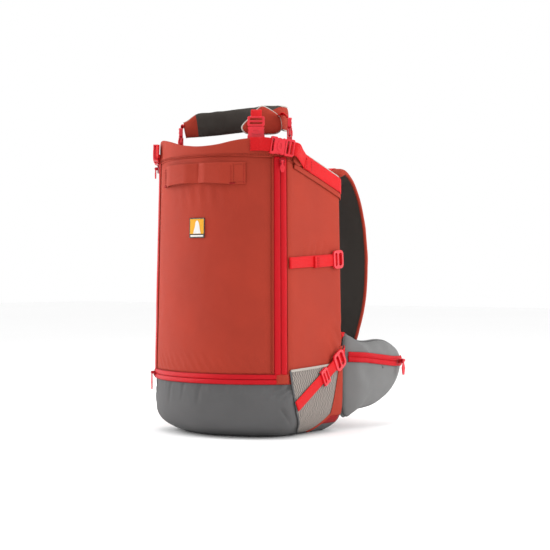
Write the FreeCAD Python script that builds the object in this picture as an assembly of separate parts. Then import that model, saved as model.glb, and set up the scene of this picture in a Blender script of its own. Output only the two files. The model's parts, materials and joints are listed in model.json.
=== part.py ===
import FreeCAD, Part
import math
import os
from FreeCAD import Vector

# A hiking daypack with an open top, a zipped front panel, a zipped bottom compartment, hip wings and a
# padded neck band over the mouth. +X is to the right seen from the front, the front panel faces -Y, the
# wearer's side is +Y, and Z = 0 is the floor.

# Driving dimensions of the pack body, in millimetres.
AXIS_Y = 72.0          # the front is an arc about a vertical axis at (0, AXIS_Y)
FRONT_RADIUS = 200.0
FRONT_ANGLE = 46.0     # the arc ends at this azimuth, left and right of the front
CORNER_RADIUS = 28.0   # front corners
BACK_RADIUS = 22.0     # back corners
BACK_CENTRE = 31.0     # back corner centres, behind the axis
BOOT_TOP = 95.0
BOTTOM_ZIP_TOP = 113.0
BOOT_CURVE = 80.0      # height over which the boot rounds in to its base
BASE_SHRINK = 0.25     # how much smaller the base is than the body
BODY_TOP = 540.0
TOP_SHRINK = 0.045     # how much smaller the body is at its top
WALL = 3.0
GAP = 0.3              # between pieces that lie on each other
COLLAR_HEIGHT = 29.0
RIM = [(-220, 527), (-60, 515), (40, 484), (125, 456), (220, 424)]   # Y and Z of the mouth's edge

# Azimuths of the seams, in degrees from the front towards +X.
TAPE_START = 41.8
TAPE_END = 49.0
BACK_SEAM = 107.0
ZIP_NORMAL = 46      # direction the side zips face, on the front corners

# Soft parts on the back.
STRAP_X = 90.0
STRAP_WIDTH = 64.0
STRAP_THICK = 12.0
STRAP_TOP = Vector(STRAP_X, 139, 462)
STRAP_FOOT = Vector(STRAP_X, 131, 62)
STRAP_LINE = [(139, 462), (152, 471), (168, 475), (196, 455), (222, 412), (238, 352), (242, 300),
              (237, 240), (226, 190), (216, 160)]
WING_HINGE = Vector(131, 132.5, 0)
WING_ANGLE = 8.0       # the wings splay outwards by this much
WING_LENGTH = 165.0
WING_THICK = 12.0
WING_EDGE = [(0, 30), (40, 34), (85, 40), (124, 57), (152, 83), (163, 112), (163, 128), (150, 146),
             (122, 160), (98, 163), (60, 161), (24, 167), (0, 170)]
POCKET_EDGE = [(14, 40), (85, 47), (120, 63), (146, 86), (157, 112), (157, 127), (145, 141), (118, 154),
               (60, 156), (14, 158)]
POCKET_DEPTH = 24.0
HIP_ZIP_START = Vector(138, 0, 121)   # along, inwards and up, in the wing's own frame
HIP_ZIP_END = Vector(46, 0, 128)

# Hardware.
WEBBING = 2.0
SIDE_WEBBING = 20.0
TOP_WEBBING = 25.0
BUCKLE_WIDTH = 30.0
BUCKLE_THICK = 9.0
BUCKLE_HALF = 26.0
BAND_HEIGHT = 44.0
BAND_THICK = 9.0
SIDE_ZIP_REST = 478.0
BOTTOM_ZIP_AZIMUTH = -44.0
BOTTOM_ZIP_Z = 104.0
SIDE_PULL = 17.0
HIP_PULL = 26.0
BOTTOM_PULL = 30.0


# Helpers.

def direction(azimuth):
    """The level direction at an azimuth counted from the front towards +X."""
    a = math.radians(azimuth)
    return Vector(math.sin(a), -math.cos(a), 0)


def shrink(z):
    """The size of the pack's outline at a height, as a share of its full size."""
    if z < BOOT_CURVE:
        return 1 - BASE_SHRINK * (1 - z / BOOT_CURVE) ** 5
    return 1 - TOP_SHRINK * max(0.0, z - BOOT_TOP) / (BODY_TOP - BOOT_TOP)


def corner_centre(scale):
    """The centre of the right front corner, seen from the axis."""
    return direction(FRONT_ANGLE) * ((FRONT_RADIUS - CORNER_RADIUS) * scale)


def arc(centre, radius, start, end):
    """A level arc about a centre, between two azimuths."""
    points = [centre + direction(a) * radius for a in (start, (start + end) / 2, end)]
    return Part.Arc(*points).toShape()


def outline(z, scale, inset):
    """The closed outline of the pack: a wide front arc, two tight corners, flat sides and a flat back."""
    axis = Vector(0, AXIS_Y, z)
    front = corner_centre(scale)
    half = front.x + (CORNER_RADIUS - BACK_RADIUS) * scale
    right_front = axis + front
    left_front = axis + Vector(-front.x, front.y, 0)
    right_back = axis + Vector(half, BACK_CENTRE * scale, 0)
    left_back = axis + Vector(-half, BACK_CENTRE * scale, 0)
    corner = CORNER_RADIUS * scale - inset
    back = BACK_RADIUS * scale - inset
    arcs = [
        arc(axis, FRONT_RADIUS * scale - inset, -FRONT_ANGLE, FRONT_ANGLE),
        arc(right_front, corner, FRONT_ANGLE, 90),
        arc(right_back, back, 90, 180),
        arc(left_back, back, 180, 270),
        arc(left_front, corner, 270, 360 - FRONT_ANGLE),
    ]
    edges = []
    for here, there in zip(arcs, arcs[1:] + arcs[:1]):
        edges.append(here)
        first = here.lastVertex().Point
        second = there.firstVertex().Point
        if first.distanceToPoint(second) > 0.01:
            edges.append(Part.LineSegment(first, second).toShape())
    return Part.Wire(edges)


def body_form(inset, low=0.0, high=BODY_TOP, lift=0.0):
    """The pack's outer form, drawn in by an inset, between two heights."""
    heights = [0, 8, 20, 36, 56, BOOT_CURVE, BOOT_TOP, BODY_TOP]
    wires = [outline(z + lift, shrink(z), inset) for z in heights if low <= z <= high]
    return Part.makeLoft(wires, True, True)


def slab(low, high):
    """A box between two corners."""
    low = Vector(*low)
    size = Vector(*high) - low
    return Part.makeBox(size.x, size.y, size.z, low)


def prism(points, depth):
    """A closed outline pushed along a vector."""
    points = [Vector(*p) for p in points]
    face = Part.Face(Part.makePolygon(points + points[:1]))
    return face.extrude(Vector(*depth))


def wedge(start, end):
    """Everything between two azimuths about the pack's axis."""
    steps = max(2, math.ceil(abs(end - start) / 25))
    rim = [direction(start + (end - start) * i / steps) * 600 for i in range(steps + 1)]
    axis = Vector(0, AXIS_Y, -20)
    return prism([axis] + [axis + p for p in rim], (0, 0, 700))


def side_region(outline_yz, right=True):
    """Everything on one side of the pack within an outline of Y and Z."""
    x = 100 if right else -100
    return prism([(x, y, z) for y, z in outline_yz], (100 if right else -100, 0, 0))


def under_rim(drop):
    """Everything lower than a line that runs a little below the mouth's edge."""
    points = [(-300, y, z - drop) for y, z in RIM]
    return prism(points + [(-300, RIM[-1][0], -20), (-300, RIM[0][0], -20)], (600, 0, 0))


def skin(near, far):
    """A layer that follows the pack's outside, between two offsets."""
    return body_form(-far).cut(body_form(-near))


def mirror(shape):
    """The left-hand copy of a right-hand piece."""
    return shape.mirror(Vector(0, 0, 0), Vector(1, 0, 0))


def place(shape, origin, along, outward):
    """Moves a piece drawn with +Z along it and +Y outwards to its place."""
    k = Vector(along).normalize()
    j = Vector(outward) - k * Vector(outward).dot(k)
    j.normalize()
    i = j.cross(k)
    matrix = FreeCAD.Matrix(i.x, j.x, k.x, origin.x, i.y, j.y, k.y, origin.y, i.z, j.z, k.z, origin.z,
                            0, 0, 0, 1)
    moved = shape.copy()
    moved.Placement = FreeCAD.Placement(matrix).multiply(shape.Placement)
    return moved


def ribbon(points, across, widths, thick):
    """A strap along a line of points: rectangles joined by flat faces."""
    across = Vector(*across)
    points = [Vector(*p) for p in points]
    if not isinstance(widths, (list, tuple)):
        widths = [widths] * len(points)
    wires = []
    for i, point in enumerate(points):
        along = points[min(i + 1, len(points) - 1)] - points[max(i - 1, 0)]
        along.normalize()
        side = across - along * across.dot(along)
        side.normalize()
        up = along.cross(side)
        a = side * (widths[i] / 2)
        b = up * (thick / 2)
        ring = [point + a + b, point - a + b, point - a - b, point + a - b]
        wires.append(Part.makePolygon(ring + ring[:1]))
    return Part.makeLoft(wires, True, True)


def upright_strip(points, thick, low, high):
    """Webbing that stands on edge: a line in plan, given a thickness and pushed up."""
    points = [Vector(x, y, low) for x, y in points]
    near, far = [], []
    for i, point in enumerate(points):
        along = (points[min(i + 1, len(points) - 1)] - points[max(i - 1, 0)]).normalize()
        side = Vector(-along.y, along.x, 0) * (thick / 2)
        near.append(point + side)
        far.append(point - side)
    return prism(near + far[::-1], (0, 0, high - low))


def smooth(points, count):
    """Evenly spaced points on a smooth curve through a few given ones."""
    curve = Part.BSplineCurve()
    curve.interpolate([Vector(*p) for p in points])
    return curve.toShape().discretize(Number=count)


def save(name, *shapes):
    """Writes one sub-part, of one solid or of several alike."""
    solids = [solid for shape in shapes for solid in shape.Solids]
    shape = solids[0] if len(solids) == 1 else Part.makeCompound(solids)
    shape.exportStep(f"parts/{name}.step")


def save_both(name, shape):
    """Writes a right-hand piece and its left-hand copy as two sub-parts."""
    save(f"{name}_right", shape)
    save(f"{name}_left", mirror(shape))


# Places that joints share with the pieces.

def side_zip_place(z):
    """The right side zip's line on the front corner: its point at a height, and the way it faces."""
    scale = shrink(z)
    point = corner_centre(scale) + direction(ZIP_NORMAL) * (CORNER_RADIUS * scale)
    return Vector(point.x, AXIS_Y + point.y, z), direction(ZIP_NORMAL)


def side_zip_along():
    """The direction up the right side zip."""
    low = side_zip_place(BOTTOM_ZIP_TOP)[0]
    high = side_zip_place(SIDE_ZIP_REST)[0]
    return (high - low).normalize()


def bottom_zip_place():
    """Where the bottom zip's slider rests, and the way it faces."""
    outward = direction(BOTTOM_ZIP_AZIMUTH)
    point = outward * (FRONT_RADIUS * shrink(BOTTOM_ZIP_Z))
    return Vector(point.x, AXIS_Y + point.y, BOTTOM_ZIP_Z), outward


def wing_place(shape):
    """Moves a piece drawn in the right wing's frame (along, inwards, up) to its place."""
    matrix = FreeCAD.Matrix()
    matrix.rotateZ(math.radians(90 - WING_ANGLE))
    matrix.move(WING_HINGE)
    moved = shape.copy()
    moved.Placement = FreeCAD.Placement(matrix).multiply(shape.Placement)
    return moved


def wing_point(point):
    """A point of the right wing's frame, in the pack's frame."""
    turn = FreeCAD.Rotation(Vector(0, 0, 1), 90 - WING_ANGLE)
    return turn.multVec(Vector(*point)) + WING_HINGE


def hip_zip_place():
    """Where the right hip pocket's slider rests, the way it faces and the way it opens."""
    start = Vector(HIP_ZIP_START.x, -(WING_THICK / 2 + POCKET_DEPTH + 1.4), HIP_ZIP_START.z)
    end = Vector(HIP_ZIP_END.x, start.y, HIP_ZIP_END.z)
    origin = wing_point(start)
    return origin, wing_point(start + Vector(0, -1, 0)) - origin, (wing_point(end) - origin).normalize()


# Buckles: each has its mouth's centre, the way the tongue leaves it and the way it faces.
RIM_BUCKLE = (Vector(145.1, -63.3, 504.5), Vector(0.616, 0.788, -0.15), Vector(0.788, -0.616, 0))
UPRIGHT = Vector(0, 0, 1)
BAND_BUCKLES = {
    "left": (Vector(-139, 0, 541), UPRIGHT, Vector(-0.75, -0.65, 0)),
    "front": (Vector(97.5, -80.5, 541), UPRIGHT, Vector(0.588, -0.809, 0)),
    "right": (Vector(127, -22, 541), UPRIGHT, Vector(0.809, 0.588, 0)),
}
BAND_LINE = [(-112, 6, 561), (-98, 30, 564), (-60, 52, 567), (-5, 60, 568), (48, 50, 568), (84, 26, 566),
             (100, -4, 563)]
FLAP_LINE = [(102, -24, 561), (99, -48, 563), (87, -70, 564), (74, -82, 561)]


# The pack body.

def make_body():
    """The sewn shell: panels, tapes, boot and collar, cut from one thin wall along their seams."""
    wall = body_form(0).cut(body_form(WALL))
    upper = wall.common(slab((-300, -300, BOOT_TOP), (300, 300, 600)))
    above_zip = upper.common(slab((-300, -300, BOTTOM_ZIP_TOP), (300, 300, 600)))
    seam = under_rim(COLLAR_HEIGHT)
    panels = above_zip.common(seam)
    save("front_panel", panels.common(wedge(-TAPE_START, TAPE_START)))
    tape = panels.common(wedge(TAPE_START, TAPE_END))
    save("side_zip_tapes", tape, mirror(tape))
    save_both("side_panel", upper.common(seam).common(wedge(TAPE_END, BACK_SEAM)))
    save("back_panel", upper.common(seam).common(wedge(BACK_SEAM, 360 - BACK_SEAM)))
    save("top_collar", upper.common(under_rim(0)).cut(seam))
    band = slab((-300, -300, BOOT_TOP), (300, 300, BOTTOM_ZIP_TOP))
    save("bottom_zip_tape", wall.common(band).common(wedge(-TAPE_END, TAPE_END)))
    inside = body_form(WALL, lift=WALL + 1)
    boot = body_form(0).cut(inside).common(slab((-300, -300, -1), (300, 300, BOOT_TOP)))
    save("bottom_boot", boot)
    edge = skin(-WALL, GAP).cut(under_rim(-GAP)).common(under_rim(-4))
    save("rim_piping", edge)


def make_inside():
    """What the shell holds: divider floor, frame sheet with its stays, foam and lining."""
    room = body_form(WALL + GAP)
    save("compartment_floor", room.common(slab((-300, -300, 106), (300, 300, 110))))
    foam = [slab((-112, 108, 250), (-22, 130, 415)), slab((22, 108, 250), (112, 130, 415)),
            slab((-112, 108, 122), (112, 130, 205))]
    save("back_foam", *[room.common(pad) for pad in foam])
    save("frame_sheet", slab((-112, 105, 116), (112, 107, 428)))
    save("frame_stays", *[slab((x - 6, 101.5, 120), (x + 6, 104.5, 424)) for x in (-70, 70)])
    save("back_lining", slab((-126, 98.5, 112), (126, 100.5, 430)))


def make_front():
    """The label, and the grab loop with two bays between its tacks."""
    save("front_label", skin(GAP, 1.5).common(slab((-17.5, -200, 352), (17.5, 0, 387))))
    low, high = 441, 479
    bay = slab((-300, -300, low), (300, 0, high))
    bridge = skin(7.0, 8.6)
    pieces = [bridge.common(bay).common(wedge(-26, 25))]
    for start, end in ((-29, -25.5), (-1.6, 1.6), (24.5, 28)):
        pieces.append(skin(GAP, 8.6).common(bay).common(wedge(start, end)))
    save("front_loop", pieces[0].multiFuse(pieces[1:]).removeSplitter())


def make_side_straps():
    """Mesh pockets and compression straps, which follow the sides."""
    mesh_edge = [(-54, 118), (101, 124), (88, 92), (62, 40), (36, 8), (5, 4), (-15, 14), (-36, 44),
                 (-50, 92)]
    mesh = skin(GAP, 1.8).common(side_region(mesh_edge))
    low, high = -SIDE_WEBBING / 2, SIDE_WEBBING / 2
    upper_edge = [(-62, 301 + low), (124, 313 + low), (124, 313 + high), (-62, 301 + high)]
    upper = skin(GAP, GAP + WEBBING).common(side_region(upper_edge)).common(wedge(TAPE_END, BACK_SEAM))
    lower_edge = [(-36, 46), (124, 137), (124, 160), (-46, 64)]
    lower = skin(2.2, 2.2 + WEBBING).common(side_region(lower_edge))
    edge = [(52, 292), (100, 295), (100, 329), (52, 326)]
    lock = skin(GAP + WEBBING + 0.4, 7.5).common(side_region(edge))
    window = [(60, 299), (74, 299), (74, 320), (60, 320)]
    rear_window = [(79, 299), (93, 299), (93, 321), (79, 321)]
    lock = lock.cut(side_region(window)).cut(side_region(rear_window))
    edge = [(83, 108), (111, 124), (99, 146), (71, 130)]
    foot_lock = skin(2.2 + WEBBING + 0.4, 10).common(side_region(edge))
    window = [(85, 117), (101, 126), (95, 137), (79, 128)]
    foot_lock = foot_lock.cut(side_region(window))
    save("mesh_pockets", mesh, mirror(mesh))
    save("side_straps", upper, lower, mirror(upper), mirror(lower))
    save("side_strap_locks", lock, foot_lock, mirror(lock), mirror(foot_lock))


def glide_place():
    """The right tri-glide's centre on the lower strap, and the strap's direction."""
    centre = Vector(157.6, 45, 102.9)
    return centre, Vector(0, 160, 92).normalize()


def make_glide():
    """The tri-glide that slides on the lower strap: a plate with a middle bar and two side lugs."""
    plate = slab((-15, 0, -10), (15, 2.4, 10))
    for z in (-7.5, 2):
        plate = plate.cut(slab((-11, -1, z), (11, 4, z + 5.5)))
    for x in (-15, 12.6):
        plate = plate.fuse(slab((x, -2.6, -10), (x + 2.4, 0, 10)))
    centre, along = glide_place()
    save_both("side_strap_glide", place(plate.removeSplitter(), centre, along, Vector(1, 0, 0)))


# Side-release buckles and the webbing they hold.

def buckle_socket():
    """The female half: a flat sleeve open at z = 0, with side windows and a webbing bar."""
    w, t, n = BUCKLE_WIDTH / 2, BUCKLE_THICK / 2, BUCKLE_HALF
    body = slab((-w, -t, -n), (w, t, 0))
    body = body.cut(slab((-w + 3, -t + 2, -n + 9), (w - 3, t - 2, 1)))
    body = body.cut(slab((-w - 1, -t + 2, -n + 11), (w + 1, t - 2, -5)))
    return body.cut(slab((-w + 4, -t - 1, -n + 3), (w - 4, t + 1, -n + 6.5)))


def buckle_tongue():
    """The male half: a webbing bar, a guide and two prongs, in the sleeve with clearance."""
    w, t, n = BUCKLE_WIDTH / 2, BUCKLE_THICK / 2, BUCKLE_HALF
    body = slab((-w, -t + 1, 0.6), (w, t - 1, n - 8))
    body = body.cut(slab((-w + 4, -t - 1, 4), (w - 4, t + 1, 8)))
    body = body.cut(slab((-w + 4, -t - 1, 11), (w - 4, t + 1, 15)))
    reach = -n + 11.5
    for x in (-w + 3.6, w - 7.6):
        body = body.fuse(slab((x, -t + 2.6, reach), (x + 4, t - 2.6, 0.6)))
    body = body.fuse(slab((-2, -t + 2.6, reach), (2, t - 2.6, 0.6)))
    return body.removeSplitter()


def along_buckle(buckle, distance):
    """A point on a buckle's line, counted from its mouth towards the tongue's side."""
    mouth, along, _ = buckle
    return mouth + Vector(along).normalize() * distance


def make_collar_hardware():
    """The five buckles round the mouth, and the webbing that runs along it and holds them."""
    rim_socket = place(buckle_socket(), *RIM_BUCKLE)
    band_sockets = [place(buckle_socket(), *buckle) for buckle in BAND_BUCKLES.values()]
    save("collar_buckle_sockets", rim_socket, mirror(rim_socket), *band_sockets)
    save_both("rim_buckle_tongue", place(buckle_tongue(), *RIM_BUCKLE))
    save("band_buckle_tongues", *[place(buckle_tongue(), *buckle) for buckle in BAND_BUCKLES.values()])
    region = under_rim(1.5).cut(under_rim(1.5 + TOP_WEBBING))
    run = skin(GAP, GAP + WEBBING).common(region).common(wedge(64, BACK_SEAM + 3))
    tongue_end = along_buckle(RIM_BUCKLE, BUCKLE_HALF - 5.5)
    leader = ribbon([(149.4, -7, 490.5), tuple(tongue_end)], (0, 0.25, 1), TOP_WEBBING, WEBBING)
    save_both("rim_strap", run)
    save_both("rim_leader", leader)
    socket_end = along_buckle(RIM_BUCKLE, -BUCKLE_HALF - 2.5)
    tab_line = [tuple(socket_end), (118.5, -89.5, 510), (108.5, -90.5, 510), (98, -96.5, 510)]
    tab = ribbon(tab_line, UPRIGHT, TOP_WEBBING - 3, WEBBING)
    tab = tab.cut(body_form(-GAP))
    tabs = [tab, mirror(tab)]
    feet = {
        "left": ((0, 1, 0), [(-139, 0, 512.5), (-139.8, 0, 506), (-140.3, 0, 498), (-140.3, 0, 484)]),
        "front": ((0.843, 0.537, 0), [(97.5, -80.5, 512.5), (98.8, -82.8, 506), (99.6, -84.2, 499),
                                      (99.6, -84.2, 486)]),
        "right": ((0, 1, 0), [(127, -22, 512.5), (134, -22, 506), (139.5, -22, 499), (140.2, -22, 486)]),
    }
    for across, line in feet.values():
        tabs.append(ribbon(line, across, 18, WEBBING))
    save("collar_tabs", *tabs)


# The neck band.

def make_neck_band():
    """The padded band that stands over the mouth, its folded front flap and the webbing that ties it."""
    band = ribbon(smooth(BAND_LINE, 16), (0, 0, 1), BAND_HEIGHT, BAND_THICK)
    save("neck_band", band)
    flap = ribbon(smooth(FLAP_LINE, 8), (0, 0, 1), BAND_HEIGHT - 6, BAND_THICK)
    save("neck_band_flap", flap)
    ends = {"left": (-120.5, 3, 568), "front": (91.5, -76, 573), "right": (114, -24, 572)}
    legs = []
    for name, end in ends.items():
        buckle = BAND_BUCKLES[name]
        across = Vector(buckle[2]).cross(UPRIGHT)
        legs.append(ribbon([tuple(along_buckle(buckle, BUCKLE_HALF - 4)), end], across, 18, WEBBING))
    save("band_legs", *legs)


# The back: shoulder straps and hip wings.

def make_shoulder_straps():
    """A padded strap each side, its ladder lock and the webbing down to the pack's foot."""
    line = smooth([(STRAP_X, y, z) for y, z in STRAP_LINE], 26)
    widths = [STRAP_WIDTH - 18 * max(0, 2 - i) / 2 - 16 * max(0, i - 19) / 6 for i in range(26)]
    strap = ribbon(line, (1, 0, 0), widths, STRAP_THICK)
    axis = STRAP_TOP - STRAP_FOOT
    pivot = Part.makeCylinder(16, 700, STRAP_FOOT - axis * 0.3, axis)
    strap = strap.cut(pivot)
    yoke = slab((STRAP_X - 12, 125.4, 440), (STRAP_X + 12, 160, 462))
    inner_pivot = Part.makeCylinder(15.2, 700, STRAP_FOOT - axis * 0.3, axis)
    yoke = yoke.common(inner_pivot)
    end = line[-1]
    toward = (STRAP_FOOT - end).normalize()
    normal = Vector(1, 0, 0).cross(toward)
    lock = place(slab((-16, -3, 0), (16, 3, 24)).cut(slab((-11, -4, 6), (11, 4, 10))).cut(
        slab((-11, -4, 14), (11, 4, 18))), end + toward * 1.5, toward, normal)
    webbing = ribbon([end + toward * 26, STRAP_FOOT - toward * 5], (1, 0, 0), 20, WEBBING)
    tab = slab((STRAP_X - 11, 125.4, 50), (STRAP_X + 11, 127.6, 74))
    save("shoulder_anchors", yoke, tab, mirror(yoke), mirror(tab))
    for name, shape in (("shoulder_strap", strap), ("shoulder_lock", lock), ("shoulder_webbing", webbing)):
        save_both(name, shape)


def wing_outline(points, y, scale=1.0):
    """A closed outline in the wing's frame, drawn in towards its middle by a scale."""
    middle_x = sum(p[0] for p in points) / len(points)
    middle_z = sum(p[1] for p in points) / len(points)
    ring = [Vector(middle_x + (x - middle_x) * scale, y, middle_z + (z - middle_z) * scale)
            for x, z in points]
    return Part.makePolygon(ring + ring[:1])


def make_hip_wings():
    """A padded wing each side with a hollow pocket, its zip, and the waist webbing with one buckle half."""
    half = WING_THICK / 2
    pad = prism([(x, -half, z) for x, z in WING_EDGE], (0, WING_THICK, 0))
    root = Part.makeCylinder(half, WING_EDGE[-1][1] - WING_EDGE[0][1], Vector(0, 0, WING_EDGE[0][1]))
    pad = pad.fuse(root).removeSplitter()
    base, top = -half - GAP, -half - POCKET_DEPTH
    outer = Part.makeLoft([wing_outline(POCKET_EDGE, base), wing_outline(POCKET_EDGE, base - 12, 0.95),
                           wing_outline(POCKET_EDGE, top, 0.83)], True, True)
    hollow = Part.makeLoft([wing_outline(POCKET_EDGE, base + 1, 0.95), wing_outline(POCKET_EDGE, base - 11, 0.90),
                            wing_outline(POCKET_EDGE, top + 2.5, 0.79)], True, True)
    pocket = outer.cut(hollow)
    rise = HIP_ZIP_END - HIP_ZIP_START
    tape = slab((-9, -1.1, -14), (9, 0, rise.Length + 8))
    tape = place(tape, Vector(HIP_ZIP_START.x, top - GAP, HIP_ZIP_START.z), rise, Vector(0, 1, 0))
    waist = [(148, half + 1.5), (160, 9), (166, 26), (158, 48), (138, 72), (112, 92)]
    webbing = upright_strip(waist, WEBBING, 103, 139)
    for name, shape in (("hip_wing", pad), ("hip_pocket", pocket), ("hip_zip_tape", tape),
                        ("waist_webbing", webbing)):
        save_both(name, wing_place(shape))
    end, before = [wing_point((x, y, 121)) for x, y in (waist[-1], waist[-2])]
    along = (end - before).normalize()
    outward = Vector(0, 0, 1).cross(along)
    socket = place(buckle_socket(), end + along * (BUCKLE_HALF + 1), along, outward)
    save("waist_socket", socket)
    left_end = Vector(-end.x, end.y, end.z)
    left_along = Vector(-along.x, along.y, 0)
    tongue = place(buckle_tongue(), left_end + left_along * (BUCKLE_HALF - 7), left_along * -1, outward)
    save("waist_tongue", tongue)


# Zip sliders and their pulls.

def zip_slider(level):
    """A slider drawn with +Z up and +Y outwards, for a level zip or an upright one, with a pull's bar."""
    half_x, half_z = (7, 4.5) if level else (4.5, 7)
    plate = slab((-half_x, 0.5, -half_z), (half_x, 4.2, half_z))
    for x in (-4.2, 3.0):
        plate = plate.fuse(slab((x, 4.2, -1), (x + 1.2, 8.6, 4)))
    bar = Part.makeCylinder(0.9, 7, Vector(-3.5, 7.4, 1.5), Vector(1, 0, 0))
    return plate.fuse(bar).removeSplitter()


def zip_pull(length):
    """A moulded pull that hangs from the slider's bar: an eye and a diamond grip."""
    eye = Part.makeCylinder(2.4, 4, Vector(-2, 7.4, 1.5), Vector(1, 0, 0))
    half = [(1.6, 0.5), (1.6, -4), (4.5, -0.5 * length), (2.2, -length)]
    edge = [(-x, 6.2, z) for x, z in half] + [(x, 6.2, z) for x, z in reversed(half)]
    grip = prism(edge, (0, 2.4, 0))
    hole = Part.makeCylinder(1.2, 12, Vector(-6, 7.4, 1.5), Vector(1, 0, 0))
    return eye.fuse(grip).cut(hole).removeSplitter()


def zip_bar(origin, along, outward):
    """The centre of a slider's bar and the bar's direction, for the pull's hinge."""
    frame = place(Part.Vertex(0, 7.4, 1.5), origin, along, outward)
    return frame.Point, Vector(outward).cross(Vector(along)).normalize()


def make_zips():
    """Five sliders with a hanging pull each."""
    where, facing = side_zip_place(SIDE_ZIP_REST)
    up = side_zip_along()
    save_both("side_zip_slider", place(zip_slider(False), where, up, facing))
    save_both("side_zip_pull", place(zip_pull(SIDE_PULL), where, up, facing))
    where, facing, _ = hip_zip_place()
    save_both("hip_zip_slider", place(zip_slider(True), where, UPRIGHT, facing))
    save_both("hip_zip_pull", place(zip_pull(HIP_PULL), where, UPRIGHT, facing))
    where, facing = bottom_zip_place()
    save("bottom_zip_slider", place(zip_slider(True), where, UPRIGHT, facing))
    save("bottom_zip_pull", place(zip_pull(BOTTOM_PULL), where, UPRIGHT, facing))


def main():
    os.makedirs("parts", exist_ok=True)
    make_body()
    make_inside()
    make_front()
    make_side_straps()
    make_glide()
    make_collar_hardware()
    make_neck_band()
    make_shoulder_straps()
    make_hip_wings()
    make_zips()


if __name__ == "__main__":
    main()
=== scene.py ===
import json
import math
import bpy
import bmesh
from mathutils import Matrix, Vector, noise

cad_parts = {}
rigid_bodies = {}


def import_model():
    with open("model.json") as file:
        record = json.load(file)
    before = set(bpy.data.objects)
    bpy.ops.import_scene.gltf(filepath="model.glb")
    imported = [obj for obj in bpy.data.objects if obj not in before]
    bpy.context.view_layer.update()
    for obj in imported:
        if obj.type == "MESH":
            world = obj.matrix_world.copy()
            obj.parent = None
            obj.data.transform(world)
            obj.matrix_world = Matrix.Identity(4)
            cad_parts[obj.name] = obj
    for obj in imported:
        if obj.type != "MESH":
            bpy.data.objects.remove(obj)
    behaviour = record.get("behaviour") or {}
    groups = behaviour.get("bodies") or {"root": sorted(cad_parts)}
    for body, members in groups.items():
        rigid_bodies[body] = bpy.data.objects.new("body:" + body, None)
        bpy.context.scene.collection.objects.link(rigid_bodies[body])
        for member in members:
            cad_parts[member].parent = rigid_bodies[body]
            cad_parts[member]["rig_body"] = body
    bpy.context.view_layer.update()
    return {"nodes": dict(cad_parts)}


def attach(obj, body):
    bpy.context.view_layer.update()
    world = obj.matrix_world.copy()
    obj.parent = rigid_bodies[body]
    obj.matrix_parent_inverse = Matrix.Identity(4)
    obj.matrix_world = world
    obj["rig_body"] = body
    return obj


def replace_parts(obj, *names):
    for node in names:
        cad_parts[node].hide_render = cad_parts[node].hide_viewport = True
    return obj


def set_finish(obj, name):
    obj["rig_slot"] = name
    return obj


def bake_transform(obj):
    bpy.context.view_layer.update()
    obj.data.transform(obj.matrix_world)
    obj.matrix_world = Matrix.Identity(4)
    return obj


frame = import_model()

# Driving dimensions, in metres: the same pack body as the frame's.
AXIS_Y = 0.072
FRONT_RADIUS = 0.200
FRONT_ANGLE = math.radians(46)
CORNER_RADIUS = 0.028
BACK_RADIUS = 0.022
BACK_CENTRE = 0.031
BOOT_TOP = 0.095
ZIP_BAND_TOP = 0.113
BOOT_CURVE = 0.080
BASE_SHRINK = 0.25
BODY_TOP = 0.540
TOP_SHRINK = 0.045
COLLAR = 0.029
RIM = [(-0.22, 0.527), (-0.06, 0.515), (0.04, 0.484), (0.125, 0.456), (0.22, 0.424)]
FABRIC = 0.0012
SIDE_WEBBING, RIM_WEBBING, FOOT_WEBBING = 0.020, 0.025, 0.019
NECK_BAND_HEIGHT, NECK_BAND_THICK = 0.044, 0.0105
SHOULDER_X, SHOULDER_WIDTH, SHOULDER_THICK = 0.090, 0.064, 0.0150
DIVIDER_Z, LABEL_Z = 0.108, 0.3665
LOOP_LOW, LOOP_HIGH = 0.441, 0.479
CAMERA_PLACE, CAMERA_TURN, CAMERA_LENS = (1.545, -2.017, 0.284), 36, 91.3

# The outline's stations, in metres along it from the front's middle.
CORNER_X = (FRONT_RADIUS - CORNER_RADIUS) * math.sin(FRONT_ANGLE)
CORNER_Y = -(FRONT_RADIUS - CORNER_RADIUS) * math.cos(FRONT_ANGLE)
HALF_WIDTH = CORNER_X + CORNER_RADIUS
U_FRONT = FRONT_RADIUS * FRONT_ANGLE
U_CORNER = U_FRONT + CORNER_RADIUS * (math.pi / 2 - FRONT_ANGLE)
U_SIDE = U_CORNER + BACK_CENTRE - CORNER_Y
U_BACK = U_SIDE + BACK_RADIUS * math.pi / 2
U_END = U_BACK + HALF_WIDTH - BACK_RADIUS
U_TAPE = FRONT_RADIUS * math.radians(41.8)
U_TAPE_END = U_FRONT + CORNER_RADIUS * math.radians(22)
U_SEAM = U_SIDE + 0.017


# Places on the pack's wall.

def plan(u):
    """A point of the full-size outline, seen from its axis, and the way it faces."""
    side = 1 if u >= 0 else -1
    u = abs(u)
    if u < U_FRONT:
        a = u / FRONT_RADIUS
        centre, radius = (0, 0), FRONT_RADIUS
    elif u < U_CORNER:
        a = FRONT_ANGLE + (u - U_FRONT) / CORNER_RADIUS
        centre, radius = (CORNER_X, CORNER_Y), CORNER_RADIUS
    elif u < U_SIDE:
        return Vector((side * HALF_WIDTH, CORNER_Y + u - U_CORNER, 0)), Vector((side, 0, 0))
    elif u < U_BACK:
        a = math.pi / 2 + (u - U_SIDE) / BACK_RADIUS
        centre, radius = (HALF_WIDTH - BACK_RADIUS, BACK_CENTRE), BACK_RADIUS
    else:
        x = HALF_WIDTH - BACK_RADIUS - (u - U_BACK)
        return Vector((side * x, BACK_CENTRE + BACK_RADIUS, 0)), Vector((0, 1, 0))
    out = Vector((side * math.sin(a), -math.cos(a), 0))
    return Vector((side * centre[0], centre[1], 0)) + out * radius, out


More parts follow.
